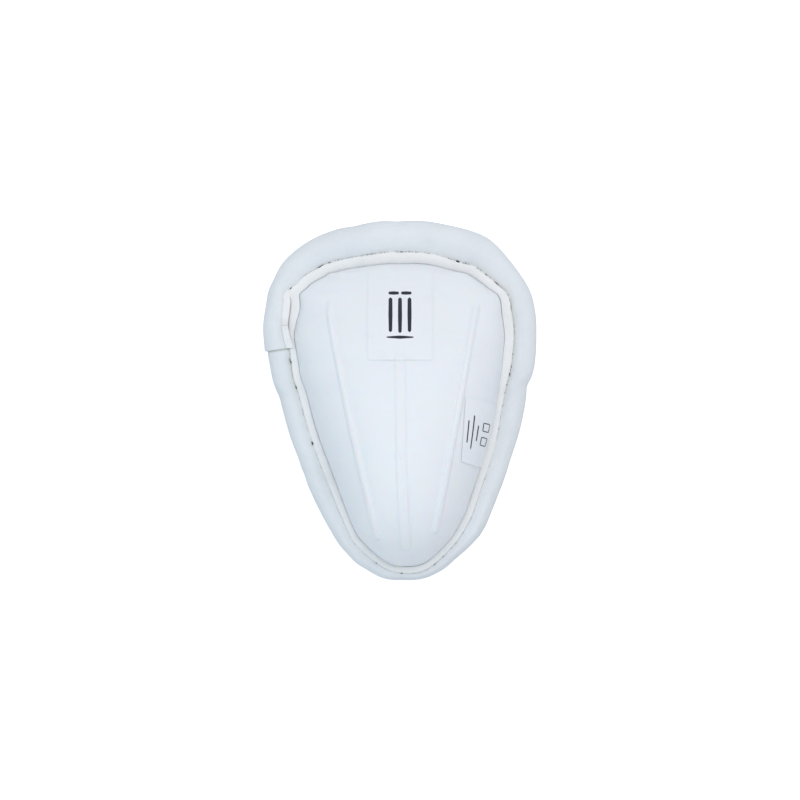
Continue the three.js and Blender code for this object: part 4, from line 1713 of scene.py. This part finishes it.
@dataclass
class SeamFray:
    """The raw edge of the cover's cloth backing: fine fibres along the seam, and painted shadows in its needle
    holes.
    """

    plan: RimPlan
    roll: PaddedRoll
    binding: EdgeBinding
    fibres: int = 2600
    stitch_pitch: float = 1.7 * MM
    seam_height: float = 0.85
    hole_sway: float = 0.15 * MM
    hole_sway_length: float = 1.2 * MM
    hole_rise: float = 0.25 * MM
    hole_steps: int = 9
    hole_sides: int = 8
    seed: int = 26

    def _height(self, rim: RimSpan) -> Array:
        """Height of the seam between the lip and the strip."""
        return self.binding.top_along(rim, rim.roll, self.seam_height)

    def build_fibres(self, material: bpy.types.Material) -> bpy.types.Object:
        """Builds the fibres as thin three-sided spikes.

        Args:
            material: Their material.

        Returns:
            The piece.
        """
        random = np.random.default_rng(self.seed)
        shares = np.sort(random.random(self.fibres))
        shares = shares[random.random(self.fibres) < Grooves.at(shares).fray ** 1.5]
        rim = self.plan.at(shares)
        count = len(shares)
        start = rim.roll + random.uniform(-0.1, 0.1, count) * MM
        z = self._height(rim) - random.uniform(0.3, 1.1, count) * MM
        base = rim.points(start[:, None], z[:, None])[:, 0]
        way = random.uniform(-1, 1, count)
        along = np.stack([-rim.inward[:, 1], rim.inward[:, 0]], axis=1)
        lean = rim.inward * random.uniform(-0.9, 0.3, count)[:, None] + along * way[:, None]
        reach = random.uniform(0.4, 1.5, count)[:, None] * MM
        tip = base + np.concatenate([lean * reach, random.uniform(0.5, 1.3, (count, 1)) * MM], axis=1)
        thick = random.uniform(0.07, 0.15, count)[:, None] * MM
        vertices, faces = [], []
        for turn in np.radians([90, 210, 330]):
            round_base = along * math.cos(turn) + rim.inward * math.sin(turn)
            vertices.append(base + np.concatenate([round_base, np.zeros((count, 1))], axis=1) * thick)
        vertices.append(tip)
        stacked = np.stack(vertices, axis=1).reshape(-1, 3)
        for fibre in range(count):
            a, b, c, d = range(fibre * 4, fibre * 4 + 4)
            faces += [(a, b, d), (b, c, d), (c, a, d), (a, c, b)]
        return make_piece("seam_fibres", stacked, faces, material)

    def _stitch_holes(self) -> list[tuple[float, float, float]]:
        """Needle holes in a loose row, each with its share of the rim, and its length and width in millimetres."""
        random = np.random.default_rng(self.seed + 1)
        holes = []
        for number in range(int(self.plan.perimeter / self.stitch_pitch)):
            share = (number + random.uniform(-0.3, 0.3)) * self.stitch_pitch / self.plan.perimeter
            from_waist = abs((share + 0.5) % 1 - 0.5)
            chance = 0.6 if from_waist < 0.13 else 0.5 if share % 1 < 0.28 else 0.06
            if random.random() < chance:
                holes.append((share, random.uniform(0.3, 1.1), random.uniform(0.12, 0.26)))
        return holes

    def build_holes(self, material: bpy.types.Material) -> bpy.types.Object:
        """Builds the painted shadows of the holes as small dark lens shapes let into the seam.

        Args:
            material: Their material.

        Returns:
            The piece.
        """
        tubes = Tubes()
        turn = np.arange(self.hole_sides)[None, :] * 2 * math.pi / self.hole_sides
        along = np.linspace(-1, 1, self.hole_steps)
        bulge = np.sqrt(np.clip(1 - along**2, 0.02, 1))[:, None]
        spots = [(self.plan.nearest(at.x * MM, at.y * MM), at.length, at.width) for at in SEAM_SPOTS]
        for place, length, width in spots + self._stitch_holes():
            share = place + along / 2 * length * MM / self.plan.perimeter
            rim = self.plan.at(share)
            sway = self.hole_sway * self.plan.ripple(share, self.hole_sway_length, 7.7)
            middle = (rim.roll + Grooves.at(share).seam / 2 + sway)[:, None]
            across = middle + width * MM / 2 * bulge * np.cos(turn)
            z = self._height(rim)[:, None] + self.hole_rise * (1 + bulge * np.sin(turn))
            tubes.add(rim.points(across, z))
        # The spots take their full dark colour: painted shadow in the holes.
        crease = np.ones(tubes.count)
        return make_piece("needle_hole_shadows", tubes.vertices(), tubes.faces, material, crease)


@dataclass(frozen=True)
class ThreadRun:
    """A loose sewing thread that lies over the binding, in millimetres: its ends, its bow to one side and its
    thickness."""

    x0: float
    y0: float
    x1: float
    y1: float
    bow: float
    thick: float


THREAD_RUNS = (
    ThreadRun(-53.0, 30.4, -49.4, 30.0, 0.35, 0.40),
    ThreadRun(-52.6, 29.2, -50.0, 29.6, -0.30, 0.28),
)


@dataclass
class LooseThreads:
    """Ends of white sewing thread left over the binding."""

    cup: MouldedCup
    binding: EdgeBinding
    steps: int = 24
    sides: int = 6
    above: float = 0.1 * MM

    def build(self, material: bpy.types.Material) -> bpy.types.Object:
        """Builds every thread as a thin tube.

        Args:
            material: Their material.

        Returns:
            The piece.
        """
        tubes = Tubes()
        share = np.linspace(0, 1, self.steps)
        turn = np.arange(self.sides)[None, :] * 2 * math.pi / self.sides
        for run in THREAD_RUNS:
            way = np.array([run.x1 - run.x0, run.y1 - run.y0])
            side = np.array([-way[1], way[0]]) / np.hypot(*way)
            bow = np.sin(share * math.pi)[:, None] * side * run.bow
            x, y = (np.array([run.x0, run.y0]) + share[:, None] * way + bow).T * MM
            strip_top = self.binding.flange.top(y) + self.binding.gap + self.binding.height
            z = np.maximum(self.cup.height(x, y), strip_top) + self.above
            around = run.thick * MM / 2 * np.cos(turn)
            ring_x, ring_y = x[:, None] + side[0] * around, y[:, None] + side[1] * around
            ring_z = z[:, None] + run.thick * MM / 2 * np.sin(turn)
            tubes.add(np.stack([ring_x, ring_y, ring_z], axis=-1))
        return make_piece("loose_threads", tubes.vertices(), tubes.faces, material)


@dataclass
class Studio:
    """Pale floor, soft light from above and a camera straight over the guard."""

    frame_width: float = 392 * MM
    lens: float = 180.0
    sensor: float = 36.0
    rim_height: float = 9 * MM
    floor_size: float = 6.0
    sky_strength: float = 0.74
    table_glow: float = 0.55
    table_bounce: Colour = linear(226, 229, 233)
    table_seen: Colour = linear(238, 240, 243)
    sky_low: Colour = linear(254, 255, 255)
    sky_high: Colour = linear(232, 236, 242)
    key_power: float = 27.0
    key_size: float = 2.0
    key_place: tuple[float, float, float] = (0.1, 0.8, 2.5)
    fill_size: float = 0.8
    left_power: float = 3.4
    right_power: float = 1.7
    left_fill: tuple[float, float, float] = (-1.2, -1.2, 0.9)
    right_fill: tuple[float, float, float] = (1.6, 0.3, 0.9)
    key_colour: Colour = linear(255, 253, 252)
    left_colour: Colour = linear(175, 232, 255)
    right_colour: Colour = linear(250, 238, 246)

    def build(self) -> None:
        """Sets up the whole studio."""
        self._camera()
        self._floor()
        self._sky()
        self._lamp("key_light", self.key_place, self.key_size, self.key_power, self.key_colour)
        self._lamp("left_fill_light", self.left_fill, self.fill_size, self.left_power, self.left_colour)
        self._lamp("right_fill_light", self.right_fill, self.fill_size, self.right_power, self.right_colour)
        bpy.context.scene.view_settings.view_transform = "Standard"

    def _camera(self) -> None:
        """Places the camera so that the frame is as wide at the rim as in the photograph."""
        data = bpy.data.cameras.new("camera")
        data.lens, data.sensor_width = self.lens, self.sensor
        camera = add_object("camera", data)
        camera.location = (0, 0, self.rim_height + self.frame_width * self.lens / self.sensor)
        bpy.context.scene.camera = camera

    def _floor(self) -> None:
        """Lays the floor, a pale table that glows to the camera, so that its shadows stay faint."""
        half = self.floor_size / 2
        corners = [(-half, -half, 0), (half, -half, 0), (half, half, 0), (-half, half, 0)]
        mesh = bpy.data.meshes.new("floor")
        mesh.from_pydata(corners, [], [(0, 1, 2, 3)])
        floor = add_object("floor", mesh)
        material = bpy.data.materials.new("pale_floor")
        wire = Wiring.fresh(material)
        seen = wire.place("ShaderNodeLightPath").outputs["Is Camera Ray"]
        colour = wire.mix(seen, opaque(self.table_bounce), opaque(self.table_seen))
        diffuse = wire.place("ShaderNodeBsdfDiffuse", {"Color": colour})
        glow = wire.place("ShaderNodeEmission", {"Strength": wire.math("MULTIPLY", seen, self.table_glow)})
        both = wire.place("ShaderNodeAddShader", {0: diffuse.outputs[0], 1: glow.outputs[0]})
        wire.place("ShaderNodeOutputMaterial", {"Surface": both.outputs[0]})
        mesh.materials.append(material)

    def _sky(self) -> None:
        """Even pale light from all round, a little dimmer low down."""
        world = bpy.data.worlds.new("studio")
        wire = Wiring.fresh(world)
        up = wire.place("ShaderNodeSeparateXYZ", {0: wire.place("ShaderNodeTexCoord").outputs["Generated"]})
        share = wire.ramp(up.outputs["Z"], -0.1, 0.9)
        colour = wire.mix(share, opaque(self.sky_low), opaque(self.sky_high))
        light = {"Color": colour, "Strength": self.sky_strength}
        background = wire.place("ShaderNodeBackground", light)
        wire.place("ShaderNodeOutputWorld", {"Surface": background.outputs[0]})
        bpy.context.scene.world = world

    @staticmethod
    def _lamp(
        name: str, place: tuple[float, float, float], size: float, power: float, colour: Colour
    ) -> None:
        """Adds a soft square lamp that looks at the guard."""
        data = bpy.data.lights.new(name, "AREA")
        data.size, data.energy, data.color = size, power, colour
        lamp = add_object(name, data)
        lamp.location = place
        lamp.rotation_euler = (-Vector(place)).to_track_quat("-Z", "Y").to_euler()


@dataclass
class Guard:
    """The whole guard, put together from its pieces."""

    front_width: float = 31 * MM
    front_length: float = 44 * MM
    front_from_binding: float = 3.9 * MM
    side_width: float = 12.7 * MM
    side_length: float = 31 * MM
    side_from_waist: float = 86.5 * MM
    side_slant: float = 3.5 * MM
    side_drop: float = 4 * MM
    side_clear: float = 0.5 * MM
    side_edge_lift: float = 0.18 * MM
    rib_steps: int = 200

    def __post_init__(self) -> None:
        """Takes the outline from the frame and sets the pieces up."""
        _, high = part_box("padded_roll")
        self.plan = RimPlan(high.x, high.y)
        self.flange = Flange(self.plan.half_length)
        self.cup = MouldedCup(self.plan, self.flange)
        self.front_top = self.cup.outer.waist_y - self.front_from_binding
        self.roll = PaddedRoll(self.plan, self.flange)
        self.binding = EdgeBinding(self.plan, self.flange)
        self.end = BindingEnd(self.plan, self.roll, self.binding)
        self.fray = SeamFray(self.plan, self.roll, self.binding)
        self.front = Film("front_film", "front_label", self.cup, self._front_place, 63, 89)
        self.front.fold_lines = (0.06, 0.90)
        self.side = Film("side_film", "side_label", self.cup, self._side_place, 41, 55)
        self.side.edge_lift = self.side_edge_lift

    def _front_place(self, across: Array, along: Array) -> tuple[Array, Array]:
        """Plan of the front film, a little below the binding at the waist end."""
        return (across - 0.5) * self.front_width, self.front_top - along * self.front_length

    def _side_place(self, across: Array, along: Array) -> tuple[Array, Array]:
        """Plan of the side film, from the right rib's flank out to the foot of the wall."""
        rib = self.cup.ribs[1]
        y = self.plan.half_length - self.side_from_waist - along * self.side_length
        line = rib.line(self.rib_steps)
        beside = np.interp(y, line[::-1, 1], line[::-1, 0])
        inner = beside + rib.width / 2 + self.side_clear + self.side_slant * along
        outer = self.cup.outer.edge_x(y, 1)
        return inner + (outer - inner) * across, y - self.side_drop * across

    def build(self, effects: Effects) -> None:
        """Builds and dresses every piece in order.

        Args:
            effects: The node groups that the finishes share.
        """
        cloth = BINDING_CLOTH.material(effects)
        film = LABEL_FILM.material(effects)
        ink = PRINTING_INK.material(effects)
        fibre = BACKING_FIBRE.material(effects)
        self.cup.build(MOULDED_PVC.material(effects))
        self.roll.build(LEATHERCLOTH.material(effects))
        self.binding.build(cloth)
        self.end.build(cloth)
        self.fray.build_fibres(fibre)
        self.fray.build_holes(NEEDLE_SHADOW.material(effects))
        LooseThreads(self.cup, self.binding).build(SEWING_THREAD.material(effects))
        self.front.build(film)
        self.side.build(film)
        Print("wicket_print", self.front, self.front_width, self.front_length, WICKET).build(ink)
        Print("size_marks", self.side, self.side_width, self.side_length, TICK_BOXES + RULES).build(ink)


WICKET = (
    InkStroke(-4.6, -8.6, -4.6, 8.4, 1.6, 2.0, 1.8),
    InkStroke(0.0, -9.0, 0.0, 8.4, 1.6, 2.0, 1.8),
    InkStroke(4.6, -8.6, 4.6, 8.4, 1.6, 2.0, 1.8),
    InkStroke(-5.6, 10.6, -0.5, 10.6, 1.3, 1.7, 1.3),
    InkStroke(0.5, 10.6, 5.6, 10.6, 1.3, 1.7, 1.3),
    InkStroke(-6.6, -11.0, 6.6, -11.0, 0.6, 1.6, 0.6),
)
TICK_BOXES = tuple(
    InkStroke(2.9 + x0, y + y0, 2.9 + x1, y + y1, wide, wide, wide)
    for y in (-3.4, 3.4)
    for x0, y0, x1, y1, wide in (
        (-1.3, -1.9, 1.2, -1.9, 0.5),
        (1.2, -1.9, 1.2, 1.9, 0.32),
        (1.2, 1.9, -1.3, 1.9, 0.5),
        (-1.3, 1.9, -1.3, -1.9, 0.4),
    )
)
RULES = (
    InkStroke(-4.4, -6.0, -4.4, 5.0, 0.5, 0.5, 0.5),
    InkStroke(-2.4, -8.5, -2.4, 8.0, 0.5, 0.5, 0.5),
    InkStroke(-0.4, -4.0, -0.4, 3.5, 0.5, 0.5, 0.5),
)


def main() -> None:
    """Builds the guard, then the studio round it."""
    logging.basicConfig(level=logging.INFO, format="%(name)s %(message)s")
    Guard().build(Effects())
    Studio().build()


if __name__ == "__main__":
    main()
